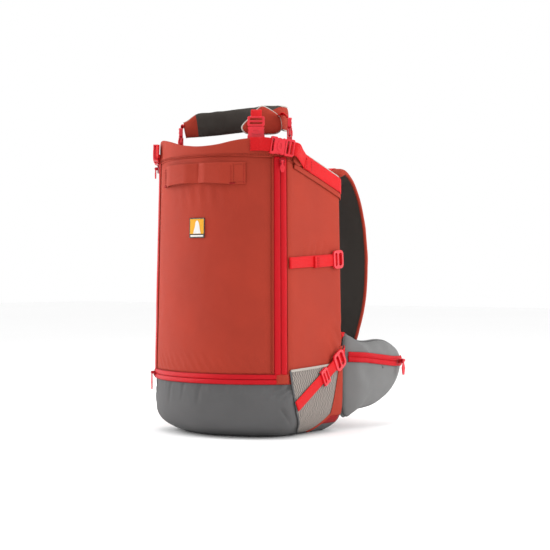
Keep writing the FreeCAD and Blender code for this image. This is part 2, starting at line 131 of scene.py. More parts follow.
def shrink(z):
    """The outline's size at a height: drawn in at the base and tapering towards the top."""
    if z < BOOT_CURVE:
        return 1 - BASE_SHRINK * (1 - z / BOOT_CURVE) ** 5
    return 1 - TOP_SHRINK * max(0.0, z - BOOT_TOP) / (BODY_TOP - BOOT_TOP)


def wall(u, z, offset=0.0):
    """A point at a distance outside the pack's wall."""
    point, out = plan(u)
    point = point * shrink(z) + out * offset
    return Vector((point.x, AXIS_Y + point.y, z))


def outward(u):
    """The way that the wall faces."""
    return plan(u)[1]


def blend_lines(points, x):
    """The value at x of a line through points, by straight steps."""
    for (x0, y0), (x1, y1) in zip(points, points[1:]):
        if x <= x1:
            return y0 + (y1 - y0) * max(0.0, (x - x0) / (x1 - x0))
    return points[-1][1]


def smoothstep(t):
    """From 0 to 1, with a soft start and end."""
    t = min(1.0, max(0.0, t))
    return t * t * (3 - 2 * t)


def bump(x, middle, half):
    """One in the middle, falling smoothly to nothing at a half width away."""
    return smoothstep(1 - abs(x - middle) / half)


def seam_z(u):
    """The height of the collar's seam."""
    return blend_lines(RIM, wall(u, 0.49).y) - COLLAR


RIM_SHAPE = [(-0.260, 0.0), (-0.205, 0.005), (-0.160, 0.015), (-0.125, 0.0125), (-0.087, 0.0055),
             (-0.043, -0.0055), (0.0, -0.0105), (0.042, -0.0080), (0.070, -0.0012), (0.105, 0.0040),
             (0.140, 0.0035), (0.180, 0.0)]


def rim_z(u):
    """The mouth's edge: it stands up at the front corners, the left one most, and sags between them."""
    lift = sum(blend_lines(RIM_SHAPE, u + 0.007 * k) for k in (-2, -1, 0, 1, 2)) / 5
    return blend_lines(RIM, wall(u, 0.5).y) + lift


def ripple(u, z, seed, size=0.05, stretch=1.0):
    """Smooth noise over the cloth, from -1 to 1."""
    return noise.noise(Vector((u / size, z / size * stretch, seed)))


# Mesh builders. Sheets and swept pieces carry their own lengths in metres as UVs, for the weave.

def add_object(name, mesh, materials, body, slot):
    """Puts a mesh in the scene on its body and in its slot."""
    piece = bpy.data.objects.new(name, mesh)
    bpy.context.scene.collection.objects.link(piece)
    for material in materials:
        mesh.materials.append(material)
    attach(piece, body)
    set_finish(piece, slot)
    return piece


def grid(name, rows, materials, body, slot, thickness=0.0, closed=False, pick=None, subdivide=0):
    """A sheet through rows of points, with its lengths as UVs; pick gives a face's material."""
    count = len(rows[0])
    mesh = bpy.data.meshes.new(name)
    faces = []
    span = count if closed else count - 1
    for i in range(len(rows) - 1):
        for j in range(span):
            k = (j + 1) % count
            faces.append((i * count + j, i * count + k, (i + 1) * count + k, (i + 1) * count + j))
    mesh.from_pydata([tuple(p) for row in rows for p in row], [], faces)
    across = [0.0]
    middle = rows[len(rows) // 2]
    for j in range(1, count + 1):
        across.append(across[-1] + (middle[j % count] - middle[j - 1]).length)
    along = [0.0]
    for i in range(1, len(rows)):
        along.append(along[-1] + (rows[i][count // 2] - rows[i - 1][count // 2]).length)
    layer = mesh.uv_layers.new(name="lengths")
    for f, polygon in enumerate(mesh.polygons):
        i, j = divmod(f, span)
        corners = [(i, j), (i, j + 1), (i + 1, j + 1), (i + 1, j)]
        for loop, (row, column) in zip(polygon.loop_indices, corners):
            layer.data[loop].uv = (across[column], along[row])
        polygon.use_smooth = True
        if pick:
            polygon.material_index = pick(i, j)
    piece = add_object(name, mesh, materials, body, slot)
    if thickness:
        solid = piece.modifiers.new("thickness", "SOLIDIFY")
        solid.thickness = thickness
        solid.offset = -1
        solid.use_rim = True
    if subdivide:
        piece.modifiers.new("smooth", "SUBSURF").render_levels = subdivide
        piece.modifiers["smooth"].levels = subdivide
    return piece


def frames_along(points, normals):
    """Point, across and outward directions along a line; normals are one vector or one per point."""
    points = [Vector(p) for p in points]
    result = []
    for i, point in enumerate(points):
        along = (points[min(i + 1, len(points) - 1)] - points[max(i - 1, 0)]).normalized()
        out = Vector(normals[i] if isinstance(normals, list) else normals)
        out = (out - along * out.dot(along)).normalized()
        result.append((point, along.cross(out), out))
    return result


def sweep(name, frames, profile, materials, body, slot, pick=None, scales=None):
    """A closed profile of (across, outward) pairs carried along frames."""
    rows = []
    for i, (point, across, out) in enumerate(frames):
        k = scales[i] if scales else 1.0
        rows.append([point + across * (a * k) + out * b for a, b in profile])
    choose = (lambda i, j: pick(j)) if pick else None
    piece = grid(name, rows, materials, body, slot, closed=True, pick=choose)
    cap_ends(piece.data, len(profile), len(rows))
    return piece


def cap_ends(mesh, count, rows):
    """Closes a tube at its first and last ring."""
    work = bmesh.new()
    work.from_mesh(mesh)
    work.verts.ensure_lookup_table()
    work.faces.new([work.verts[j] for j in range(count)][::-1])
    last = (rows - 1) * count
    work.faces.new([work.verts[last + j] for j in range(count)])
    bmesh.ops.recalc_face_normals(work, faces=work.faces)
    work.to_mesh(mesh)
    work.free()


def between(points, steps):
    """Evenly spaced pairs along a line through pairs."""
    pairs = [(a0 + (a1 - a0) * i / steps, b0 + (b1 - b0) * i / steps)
             for (a0, b0), (a1, b1) in zip(points, points[1:]) for i in range(steps)]
    return pairs + [points[-1]]


def over_wall(stations, offset):
    """Frames over the wall at closely spaced (u, z) stations."""
    return frames_along([wall(u, z, offset) for u, z in stations], [outward(u) for u, z in stations])


def wall_path(stations, steps, offset):
    """Frames along a line over the wall, through (u, z) stations."""
    return over_wall(between(stations, steps), offset)


def webbing_profile(width, thickness=0.0017):
    """A woven strap's section: flat, with softened selvedges and a slightly crowned face."""
    w = width / 2
    edge = 0.0006
    return [(-w, thickness * 0.25), (-w, thickness * 0.7), (-w + edge, thickness),
            (-w * 0.5, thickness * 1.06), (0, thickness * 1.1), (w * 0.5, thickness * 1.06),
            (w - edge, thickness), (w, thickness * 0.7), (w, thickness * 0.25), (w - edge, 0),
            (-w + edge, 0)]


def round_profile(radius, count=8):
    """A cord's round section."""
    return [(radius * math.cos(2 * math.pi * i / count), radius * math.sin(2 * math.pi * i / count))
            for i in range(count)]


def pad_profile(width, thickness, count=28, power=3.2):
    """A stuffed strap's section: a superellipse, so that its edges are full and its faces nearly flat."""
    ring = []
    for i in range(count):
        a = 2 * math.pi * i / count
        c, s = math.cos(a), math.sin(a)
        k = (abs(c) ** power + abs(s) ** 2) ** (-1 / power)
        ring.append((width / 2 * c * k, thickness / 2 * s * min(k, 1.15)))
    return ring


def stitches(name, frames, material, body, slot, length=0.003, gap=0.0016, radius=0.00035):
    """A row of thread stitches: short rounded bars that dip into the cloth at both ends."""
    mesh = bpy.data.meshes.new(name)
    vertices, faces = [], []
    total = 0.0
    points = [f[0] for f in frames]
    outs = [f[2] for f in frames]
    lengths = [(b - a).length for a, b in zip(points, points[1:])]
    whole = sum(lengths)

    def at(distance):
        for i, step in enumerate(lengths):
            if distance <= step or i == len(lengths) - 1:
                t = min(1.0, distance / max(step, 1e-9))
                return points[i].lerp(points[i + 1], t), outs[i].lerp(outs[i + 1], t).normalized()
            distance -= step

    while total + length < whole:
        ring_start = len(vertices)
        for k in range(4):
            t = k / 3
            point, out = at(total + length * t)
            ahead = (at(min(whole, total + length * t + 1e-4))[0] - point)
            along = ahead.normalized() if ahead.length > 1e-9 else Vector((0, 0, 1))
            across = along.cross(out)
            lift = radius * (1.4 if 0 < k < 3 else -0.6)
            for a, b in ((1, 0), (0, 1), (-1, 0), (0, -1)):
                vertices.append(point + across * (a * radius) + out * (lift + b * radius))
        for k in range(3):
            for j in range(4):
                n = (j + 1) % 4
                base = ring_start + k * 4
                faces.append((base + j, base + n, base + 4 + n, base + 4 + j))
        faces.append((ring_start + 3, ring_start + 2, ring_start + 1, ring_start))
        faces.append(tuple(ring_start + 12 + j for j in range(4)))
        total += length + gap
    mesh.from_pydata([tuple(v) for v in vertices], [], faces)
    for polygon in mesh.polygons:
        polygon.use_smooth = True
    return add_object(name, mesh, [material], body, slot)


def local_matrix(origin, along, out):
    """From a frame drawn with +Z along and +Y outwards."""
    k = Vector(along).normalized()
    j = Vector(out)
    j = (j - k * j.dot(k)).normalized()
    i = j.cross(k)
    return Matrix(((i.x, j.x, k.x, origin[0]), (i.y, j.y, k.y, origin[1]), (i.z, j.z, k.z, origin[2]),
                   (0, 0, 0, 1)))


def plate(outline, low, high, holes=(), bevel=0.0006):
    """A moulded plate: an outline of (x, z) points with holes, given a thickness in y and soft edges."""
    work = bmesh.new()
    loops = [outline, *holes]
    edges = []
    for loop in loops:
        verts = [work.verts.new((x, low, z)) for x, z in loop]
        for a, b in zip(verts, verts[1:] + verts[:1]):
            edges.append(work.edges.new((a, b)))
    bmesh.ops.triangle_fill(work, use_beauty=True, use_dissolve=True, edges=edges)
    faces = work.faces[:]
    made = bmesh.ops.extrude_face_region(work, geom=faces)
    moved = [g for g in made["geom"] if isinstance(g, bmesh.types.BMVert)]
    bmesh.ops.translate(work, verts=moved, vec=(0, high - low, 0))
    bmesh.ops.recalc_face_normals(work, faces=work.faces)
    if bevel:
        sharp = [e for e in work.edges if len(e.link_faces) == 2 and e.calc_face_angle(0) > 0.6]
        bmesh.ops.bevel(work, geom=sharp, offset=bevel, segments=2, profile=0.6, affect="EDGES",
                        clamp_overlap=True)
    return work


def moulded(name, parts, matrix, materials, body, slot):
    """Moulded plates joined and put in their place; each part is a bmesh and a material index."""
    mesh = bpy.data.meshes.new(name)
    whole = bmesh.new()
    for work, index in parts:
        for face in work.faces:
            face.material_index = index
        part = bpy.data.meshes.new("part")
        work.to_mesh(part)
        work.free()
        whole.from_mesh(part)
        bpy.data.meshes.remove(part)
    whole.transform(matrix)
    bmesh.ops.recalc_face_normals(whole, faces=whole.faces)
    whole.to_mesh(mesh)
    whole.free()
    for polygon in mesh.polygons:
        polygon.use_smooth = False
    return add_object(name, mesh, materials, body, slot)


def rounded(width, low, high, radius, steps=4):
    """A rectangle with rounded corners, as (x, z) points."""
    w = width / 2
    points = []
    for cx, cz, start in ((w - radius, high - radius, 0), (-w + radius, high - radius, 90),
                          (-w + radius, low + radius, 180), (w - radius, low + radius, 270)):
        for i in range(steps + 1):
            a = math.radians(start + 90 * i / steps)
            points.append((cx + radius * math.cos(a), cz + radius * math.sin(a)))
    return points


def mirrored(piece, name, body):
    """The left-hand copy of a right-hand piece."""
    mesh = piece.data.copy()
    mesh.transform(Matrix.Scale(-1, 4, (1, 0, 0)))
    mesh.flip_normals()
    copy = bpy.data.objects.new(name, mesh)
    bpy.context.scene.collection.objects.link(copy)
    for modifier in piece.modifiers:
        made = copy.modifiers.new(modifier.name, modifier.type)
        if modifier.type == "SOLIDIFY":
            made.thickness, made.offset = modifier.thickness, modifier.offset
        if modifier.type == "SUBSURF":
            made.levels, made.render_levels = modifier.levels, modifier.render_levels
    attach(copy, body)
    return copy


# Materials.

class Shade:
    """A node material under construction, with its lengths in metres."""

    def __init__(self, name):
        self.material = bpy.data.materials.new(name)
        self.material.use_nodes = True
        self.tree = self.material.node_tree
        self.shader = self.tree.nodes["Principled BSDF"]

    def add(self, kind, inputs=None, **settings):
        node = self.tree.nodes.new(kind)
        for key, value in settings.items():
            setattr(node, key, value)
        for key, value in (inputs or {}).items():
            if isinstance(value, bpy.types.NodeSocket):
                self.tree.links.new(value, node.inputs[key])
            else:
                node.inputs[key].default_value = value
        return node

    def math(self, operation, a, b=0.0):
        return self.add("ShaderNodeMath", {0: a, 1: b}, operation=operation).outputs[0]

    def ramp(self, factor, stops):
        node = self.add("ShaderNodeValToRGB", {0: factor})
        ramp = node.color_ramp
        for i, (place, colour) in enumerate(stops):
            element = ramp.elements[i] if i < 2 else ramp.elements.new(place)
            element.position = place
            element.color = (*colour, 1)
        return node.outputs[0]

    def noise(self, vector, scale, detail=3.0, roughness=0.5):
        return self.add("ShaderNodeTexNoise", {"Vector": vector, "Scale": scale, "Detail": detail,
                                               "Roughness": roughness}).outputs["Fac"]

    def bump(self, height, strength, distance, normal=None):
        inputs = {"Height": height, "Strength": strength, "Distance": distance}
        if normal:
            inputs["Normal"] = normal
        return self.add("ShaderNodeBump", inputs).outputs[0]

    def finish(self, colour, roughness, normal, sheen=0.0, tint=None, specular=0.3):
        link = self.tree.links.new
        link(colour, self.shader.inputs["Base Color"])
        if isinstance(roughness, bpy.types.NodeSocket):
            link(roughness, self.shader.inputs["Roughness"])
        else:
            self.shader.inputs["Roughness"].default_value = roughness
        link(normal, self.shader.inputs["Normal"])
        self.shader.inputs["Sheen Weight"].default_value = sheen
        self.shader.inputs["Sheen Roughness"].default_value = 0.45
        if tint:
            self.shader.inputs["Sheen Tint"].default_value = (*tint, 1)
        self.shader.inputs["Specular IOR Level"].default_value = specular
        return self.material


def scaled(colour, k):
    """A lighter or darker colour."""
    return tuple(min(1.0, c * k) for c in colour)


def woven(name, colour, pitch=0.0009, depth=0.00012, sheen=0.08, rough=0.75, ribs=0.0, space="UV"):
    """Plain-woven cloth: crossing threads, slight colour drift between them and soft sheen."""
    s = Shade(name)
    place = s.add("ShaderNodeTexCoord").outputs[space]
    split = s.add("ShaderNodeSeparateXYZ", {0: place})
    turn = 2 * math.pi / pitch
    if space == "UV":
        u, v = split.outputs[0], split.outputs[1]
    else:
        u, v = s.math("ADD", split.outputs[0], split.outputs[1]), split.outputs[2]
    weft = s.math("SINE", s.math("MULTIPLY", u, turn))
    warp = s.math("SINE", s.math("MULTIPLY", v, turn))
    threads = s.math("MULTIPLY", weft, warp)
    if ribs:
        rib = s.math("SINE", s.math("MULTIPLY", u, 2 * math.pi / ribs))
        threads = s.math("ADD", s.math("MULTIPLY", threads, 0.4), rib)
    patch = s.noise(place, 9.0, 4.0, 0.6)
    fine = s.noise(place, 900.0, 2.0)
    mixed = s.math("ADD", s.math("MULTIPLY", patch, 0.8), s.math("MULTIPLY", threads, 0.05))
    mixed = s.math("ADD", mixed, s.math("MULTIPLY", fine, 0.2))
    tone = s.ramp(mixed, [(0.25, scaled(colour, 0.88)), (0.75, scaled(colour, 1.12))])
    soft = s.bump(s.noise(place, 45.0, 3.0), 0.35, 0.0012)
    normal = s.bump(threads, 0.6, depth, soft)
    roughness = s.add("ShaderNodeMapRange", {0: patch, 3: rough - 0.08, 4: rough + 0.08}).outputs[0]
    return s.finish(tone, roughness, normal, sheen, scaled(colour, 1.6), 0.15)


def air_mesh(name, thread, hole, pitch=0.0026, wavy=0.0):
    """Spacer mesh: staggered round holes in a knitted face, or wavy rows of open knit."""
    s = Shade(name)
    place = s.add("ShaderNodeTexCoord").outputs["UV"]
    split = s.add("ShaderNodeSeparateXYZ", {0: place})
    u, v = split.outputs[0], split.outputs[1]
    if wavy:
        sway = s.math("MULTIPLY", s.math("SINE", s.math("MULTIPLY", v, 2 * math.pi / (wavy * 3))),
                      wavy * 0.35)
        drift = s.math("MULTIPLY", s.noise(place, 60.0, 1.0), wavy * 1.1)
        u = s.math("ADD", s.math("ADD", u, sway), drift)
        rows = s.math("SINE", s.math("MULTIPLY", u, 2 * math.pi / wavy))
        knit = s.math("SINE", s.math("MULTIPLY", v, 2 * math.pi / (pitch * 0.8)))
        height = s.math("ADD", rows, s.math("MULTIPLY", knit, 0.35))
    else:
        a = s.math("SINE", s.math("MULTIPLY", s.math("ADD", u, v), math.pi / pitch * 1.4))
        b = s.math("SINE", s.math("MULTIPLY", s.math("SUBTRACT", u, v), math.pi / pitch * 1.4))
        height = s.math("MULTIPLY", a, b)
    fine = s.noise(place, 700.0, 2.0)
    mixed = s.math("ADD", s.math("MULTIPLY", height, 0.4), fine)
    tone = s.ramp(mixed, [(0.25, hole), (0.75, thread)])
    normal = s.bump(height, 0.7, 0.0006)
    return s.finish(tone, 0.8, normal, 0.3, scaled(thread, 1.5), 0.2)


def plastic(name, colour, rough=0.32):
    """Moulded acetal: a smooth skin with a faint grain and small tone changes."""
    s = Shade(name)
    place = s.add("ShaderNodeTexCoord").outputs["Object"]
    patch = s.noise(place, 60.0, 3.0)
    tone = s.ramp(patch, [(0.3, scaled(colour, 0.9)), (0.7, scaled(colour, 1.1))])
    normal = s.bump(s.noise(place, 1800.0, 2.0), 0.15, 0.0001)
    roughness = s.add("ShaderNodeMapRange", {0: patch, 3: rough - 0.05, 4: rough + 0.08}).outputs[0]
    return s.finish(tone, roughness, normal, 0.0, None, 0.5)


def metal(name, colour):
    """Painted or bare metal, faintly mottled."""
    s = Shade(name)
    place = s.add("ShaderNodeTexCoord").outputs["Object"]
    patch = s.noise(place, 300.0, 2.0)
    tone = s.ramp(patch, [(0.3, scaled(colour, 0.85)), (0.7, scaled(colour, 1.1))])
    s.shader.inputs["Metallic"].default_value = 0.9
    normal = s.bump(patch, 0.1, 0.0001)
    return s.finish(tone, 0.35, normal, 0.0, None, 0.5)


RUST = (0.36, 0.038, 0.020)
RED = (0.60, 0.006, 0.009)
ZIP_RED = (0.50, 0.003, 0.009)
GREY = (0.100, 0.099, 0.100)
WING_GREY = (0.185, 0.185, 0.183)
DARK = (0.070, 0.060, 0.052)

rust = woven("rust_fabric", RUST)
grey = woven("grey_boot_fabric", GREY, pitch=0.0012, sheen=0.12)
wing_grey = woven("grey_wing_fabric", WING_GREY, pitch=0.0011, sheen=0.15, space="Object")
red_webbing = woven("red_webbing", RED, pitch=0.0011, depth=0.00025, ribs=0.0024, sheen=0.06, rough=0.55)
zip_cloth = woven("zip_tape", ZIP_RED, pitch=0.0008, sheen=0.05, rough=0.45)
piping_cloth = woven("grey_piping", (0.50, 0.47, 0.43), pitch=0.0008, sheen=0.3)
dark_mesh = air_mesh("dark_spacer_mesh", DARK, scaled(DARK, 0.5))
side_mesh = air_mesh("side_pocket_mesh", (0.33, 0.29, 0.26), (0.13, 0.115, 0.105), pitch=0.0018,
                     wavy=0.0050)
red_plastic = plastic("red_plastic", (0.66, 0.010, 0.024))
# Dark red thread for stitches and tacks, also used as painted shadow on the zip tapes' edges and as
# painted shade on a strip low at each side's rear.
dark_red_thread_and_shade = woven("dark_red_thread_and_shade", (0.28, 0.01, 0.012), pitch=0.0006)
rust_thread = woven("rust_thread", scaled(RUST, 0.62), pitch=0.0006)
pale_thread = woven("pale_thread", (0.55, 0.50, 0.45), pitch=0.0006)
# Near-black cloth for the pack's inside: painted shade.
shadow_cloth = woven("lining_painted_shade", (0.05, 0.05, 0.052), sheen=0.1)
slider_metal = metal("slider_metal", (0.42, 0.02, 0.03))
binding_cloth = woven("pocket_binding", (0.42, 0.39, 0.35), pitch=0.0008)
foam_material = woven("foam_skin", (0.09, 0.09, 0.095), pitch=0.0016, sheen=0.05, space="Object")
frame_plastic = plastic("frame_plastic", (0.55, 0.56, 0.57), 0.45)
stay_metal = metal("stay_metal", (0.6, 0.6, 0.6))
label_yellow = woven("label_yellow", (0.74, 0.36, 0.03), pitch=0.0006)
label_white = woven("label_white", (0.75, 0.73, 0.70), pitch=0.0006)
label_dark = woven("label_dark", (0.035, 0.03, 0.028), pitch=0.0006)

# The materials, the body and the slot of the commonest pieces.
RUST_CLOTH = ([rust], "pack", "rust_fabric")
RED_STRAP = ([red_webbing], "pack", "red_webbing")
RED_MOULDING = ([red_plastic], "pack", "red_plastic")
DARK_STITCHES = (dark_red_thread_and_shade, "pack", "red_webbing")


# Places on the sides.

def station(y, z):
    """How far round the right-hand wall a depth y lies."""
    low, high = 0.0, U_BACK
    for _ in range(40):
        middle = (low + high) / 2
        if wall(middle, z).y < y:
            low = middle
        else:
            high = middle
    return low


def side_frames(points, steps, offset):
    """Frames along a line of (y, z) points on the right-hand wall."""
    return over_wall([(station(y, z), z) for y, z in between(points, steps)], offset)


def catmull_rom(before, start, end, after, t):
    """A point between two others on a Catmull-Rom line, given the ones before and after them."""
    return 0.5 * (2 * start + (end - before) * t + (2 * before - 5 * start + 4 * end - after) * t ** 2
                  + (3 * start - before - 3 * end + after) * t ** 3)


def smooth_line(points, count):
    """A Catmull-Rom line through points."""
    points = [Vector(p) for p in points]
    padded_points = [points[0] * 2 - points[1], *points, points[-1] * 2 - points[-2]]
    spans = len(points) - 1
    line = []
    for i in range(count):
        s = i * spans / (count - 1)
        k = min(int(s), spans - 1)
        line.append(catmull_rom(*padded_points[k:k + 4], s - k))
    return line


def span(low, high, count):
    """Evenly spaced numbers from low to high."""
    return [low + (high - low) * i / (count - 1) for i in range(count)]


def both_sides(piece, node):
    """Puts a right-hand piece's copy on the left, each in place of its own node."""
    body = piece["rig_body"]
    left_body = body.replace("_right", "_left")
    copy = mirrored(piece, piece.name.replace("_right", "") + "_left_copy", left_body)
    copy["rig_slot"] = piece["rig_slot"]
    if node:
        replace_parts(piece, node)
        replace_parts(copy, node.replace("_right", "_left"))
    return piece, copy


# The pack body.

def panel_offset(u, z, edge, seed, size=1.0):
    """A sewn panel's surface: drawn in at its seams and rippled between them."""
    rise = smoothstep(edge / 0.016)
    swell = 0.0008 * ripple(u, z, seed, 0.075, 0.4) + 0.0004 * ripple(u, z, seed + 5, 0.022, 0.7)
    return -0.0019 + rise * (0.0013 + swell * size)


def panel(name, node, left, right, low, high, seed, materials, slot, columns, rows, crease):
    """A panel between two stations round the wall, from a level to the height that high(u) gives."""
    points = []
    for i in range(rows):
        row = []
        for j in range(columns):
            u = left + (right - left) * j / (columns - 1)
            top = high(u)
            z = low + (top - low) * i / (rows - 1)
            edge = min(z - low, top - z, u - left, right - u)
            row.append(wall(u, z, panel_offset(u, z, edge, seed) + crease(u, z)))
        points.append(row)
    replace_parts(grid(name, points, materials, "pack", slot, thickness=FABRIC), node)


def front_crease(u, z):
    """The front's soft folds: one under the collar, and pulls from the loop and the lower corners."""
    fold_z = seam_z(u) - 0.009 - 0.010 * bump(u, -0.02, 0.11)
    fold = 0.0011 * math.exp(-((z - fold_z) / 0.0035) ** 2) * bump(u, 0.0, 0.16)
    fold -= 0.0012 * math.exp(-((z - fold_z + 0.007) / 0.003) ** 2) * bump(u, 0.0, 0.15)
    pull = 0.0009 * math.sin(u * 260 + z * 30) * bump(z, 0.425, 0.035) * bump(u, 0.02, 0.12)
    foot = 0.0009 * math.sin((u * 1.5 + z) * 240) * bump(z, 0.128, 0.03)
    return fold + pull * 0.7 + foot * 0.6


def make_panels():
    """The front and the two sides, each sewn in between its zips and seams."""
    panel("front_cloth", "front_panel", -U_TAPE, U_TAPE, ZIP_BAND_TOP, seam_z, 1.7, [rust],
          "rust_fabric", 100, 110, front_crease)
    for side in (1, -1):
        ends = sorted((side * U_TAPE_END, side * U_SEAM))

        def side_crease(u, z):
            corner = bump(abs(u), U_SEAM, 0.09) * bump(z, 0.15, 0.08)
            strap = bump(z, 0.322, 0.03) * bump(abs(u), 0.26, 0.07)
            lines = math.sin((abs(u) * 0.9 + z * 0.8) * 230)
            return 0.0010 * lines * corner + 0.0008 * math.sin((abs(u) - z * 0.3) * 300) * strap

        label = "right" if side > 0 else "left"
        panel("side_cloth_" + label, "side_panel_" + label, *ends, BOOT_TOP, seam_z, 3.1 + side, [rust],
              "rust_fabric", 60, 120, side_crease)


def make_collar():
    """The double-folded band round the mouth: outer face, rolled edge and inner face."""
    columns = 260
    rows = []
    outer = [(0.0, -0.0018), (0.03, -0.0008), (0.15, 0.0), (0.4, 0.0004), (0.7, 0.0003), (0.9, 0.0002),
             (0.97, -0.0004), (1.0, -0.0016), (0.985, -0.0029), (0.9, -0.0036), (0.5, -0.0036),
             (0.0, -0.0034)]
    for t, offset in outer:
        row = []
        for j in range(columns):
            u = -U_END + 2 * U_END * j / columns
            low, high = seam_z(u), rim_z(u)
            z = low + (high - low) * t
            wave = 0.0009 * ripple(u, z, 7.7, 0.045, 0.8) * (1 if 0.1 < t < 0.98 else 0.3)
            row.append(wall(u, z, offset + wave))
        rows.append(row)
    collar = grid("collar_cloth", rows, *RUST_CLOTH, closed=True, subdivide=1)
    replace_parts(collar, "top_collar")
    for name, shift in (("low", 0.0022), ("high", 0.0045)):
        line = [(u, seam_z(u) + shift) for u in span(-U_SEAM + 0.006, U_SEAM - 0.006, 260)]
        stitches("collar_stitches_" + name, over_wall(line, 0.0001), rust_thread, "pack", "rust_fabric")


def make_rim_piping():
    """A pale cord in the sides' and back's top edge."""
    stations = [u if u <= U_END else u - 2 * U_END for u in span(0.225, 2 * U_END - 0.225, 200)]
    line = over_wall([(u, rim_z(u) + 0.0006) for u in stations], -0.0014)
    piping = sweep("rim_piping_cord", line, round_profile(0.0014), [piping_cloth], "pack", "grey_piping")
    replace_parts(piping, "rim_piping")


def valley(u, z, start, end, width):
    """A crease from one point of the wall to another: 1 on its line, 0 beside it, fading at its end."""
    du, dz = end[0] - start[0], end[1] - start[1]
    length = math.hypot(du, dz)
    along = ((u - start[0]) * du + (z - start[1]) * dz) / length
    across = ((u - start[0]) * dz - (z - start[1]) * du) / length
    ends = smoothstep((along + 0.006) / 0.006) * smoothstep((length - along) / (0.6 * length))
    return math.exp(-(across / width) ** 2) * ends


def make_boot():
    """The grey boot: full at its top edge, drawn in to a flat base, creased by the mesh pockets."""
    columns = 440
    rows = []
    levels = [0.0950, 0.0935, 0.0910] + span(0.0885, 0.0235, 27)
    levels += [0.0212, 0.0190, 0.0150, 0.0115, 0.0085, 0.0060, 0.0038, 0.0018, 0.0004]
    edge_u = U_TAPE_END
    creases = [((edge_u + 0.004, 0.089), (edge_u - 0.034, 0.071), 0.0034, 0.0036),
               ((edge_u + 0.004, 0.079), (edge_u - 0.020, 0.064), 0.0030, 0.0026),
               ((edge_u - 0.010, 0.050), (edge_u + 0.014, 0.018), 0.0030, 0.0032),
               ((edge_u - 0.016, 0.093), (edge_u - 0.060, 0.062), 0.0050, 0.0016),
               ((0.010, 0.093), (0.002, 0.050), 0.0045, 0.0016),
               ((-0.030, 0.093), (-0.036, 0.056), 0.0040, 0.0016),
               ((-0.066, 0.093), (-0.076, 0.046), 0.0050, 0.0018)]
    for z in levels:
        row = []
        for j in range(columns):
            u = -U_END + 2 * U_END * j / columns
            edge = BOOT_TOP - z
            offset = panel_offset(u, z, edge, 11.0, 1.3) if z > 0.004 else -0.0010
            for start, end, width, depth in creases:
                side_u = abs(u) if start[0] > 0.05 else u
                offset -= depth * valley(side_u, z, start, end, width)
            gather = bump(z, 0.086, 0.028) * max(0.0, ripple(u, z * 0.4, 4.2, 0.012))
            offset += 0.0020 * gather
            row.append(wall(u, z, offset))
        rows.append(row)
    base = rows[-1]
    centre = Vector((0, AXIS_Y * 0.97, 0.0004))
    for k in (0.9, 0.7, 0.45, 0.2, 0.04):
        rows.append([centre + (p - centre) * k for p in base])
    boot = grid("boot_cloth", rows[::-1], [grey], "pack", "grey_fabric", closed=True, thickness=0.0016)
    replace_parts(boot, "bottom_boot")


def make_back():
    """The back: spacer mesh over foam pads, with channels between them."""
    rows = []
    width = 2 * (U_END - U_SEAM)
    columns, levels = 70, 120
    for i in range(levels):
        row = []
        for j in range(columns):
            s = width * j / (columns - 1)
            u = U_SEAM + s
            v = u if u <= U_END else u - 2 * U_END
            z = BOOT_TOP + (seam_z(v) - BOOT_TOP) * i / (levels - 1)
            x = wall(v, z).x
            edge = min(z - BOOT_TOP, seam_z(v) - z, s, width - s)
            pads = smoothstep((abs(x) - 0.012) / 0.02) * smoothstep((0.118 - abs(x)) / 0.02)
            pads *= smoothstep((z - 0.238) / 0.02) + smoothstep((0.205 - z) / 0.02)
            anchor = bump(abs(x), 0.09, 0.035) * (bump(z, 0.45, 0.05) + bump(z, 0.062, 0.06))
            pads *= smoothstep(edge / 0.02) * (1 - min(1, anchor))
            row.append(wall(v, z, panel_offset(v, z, edge, 15.0) + 0.0035 * pads))
        rows.append(row)
    back = grid("back_mesh", rows, [dark_mesh], "pack", "dark_mesh", thickness=0.002)
    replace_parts(back, "back_panel")


def make_insides():
    """The divider floor and the lining, in near-black cloth as painted shade of the pack's inside, and
    the foam pads, as cloth and foam.
    """
    rows = []
    for k in (1.0, 0.97, 0.9, 0.75, 0.55, 0.3, 0.05):
        row = []
        for j in range(120):
            u = -U_END + 2 * U_END * j / 120
            p = wall(u, DIVIDER_Z, -0.0045)
            centre = Vector((0, AXIS_Y * 0.9, DIVIDER_Z))
            q = centre + (p - centre) * k
            q.z += 0.0012 * ripple(q.x, q.y, 2.0, 0.04) * (1 - k ** 6)
            row.append(q)
        rows.append(row)
    # The divider floor and the back lining are near-black as painted shade.
    floor_cloth = grid("divider_floor", rows, [shadow_cloth], "pack", "lining", closed=True,
                       thickness=0.0015)
    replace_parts(floor_cloth, "compartment_floor")
    rows = [[Vector((x, 0.0995 + 0.0008 * ripple(x, z, 8.0, 0.05), z)) for x in span(-0.126, 0.126, 50)]
            for z in span(0.112, 0.430, 60)]
    lining = grid("back_lining_cloth", rows, [shadow_cloth], "pack", "lining", thickness=0.0008)
    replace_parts(lining, "back_lining")
    for i, (x0, z0, x1, z1) in enumerate(((-0.112, 0.250, -0.022, 0.415), (0.022, 0.250, 0.112, 0.415),
                                           (-0.112, 0.122, 0.112, 0.205))):
        middle, half, tall = (x0 + x1) / 2, (x1 - x0) / 2, (z1 - z0) / 2
        edge = [(middle + x, (z0 + z1) / 2 + z) for x, z in rounded(2 * half, -tall, tall, 0.012)]
        pad = pillow(f"foam_pad_{i}", edge, 0.006, Matrix.Translation((0, 0.1145, 0)), [foam_material],
                     "pack", "foam")
        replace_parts(pad, "back_foam")


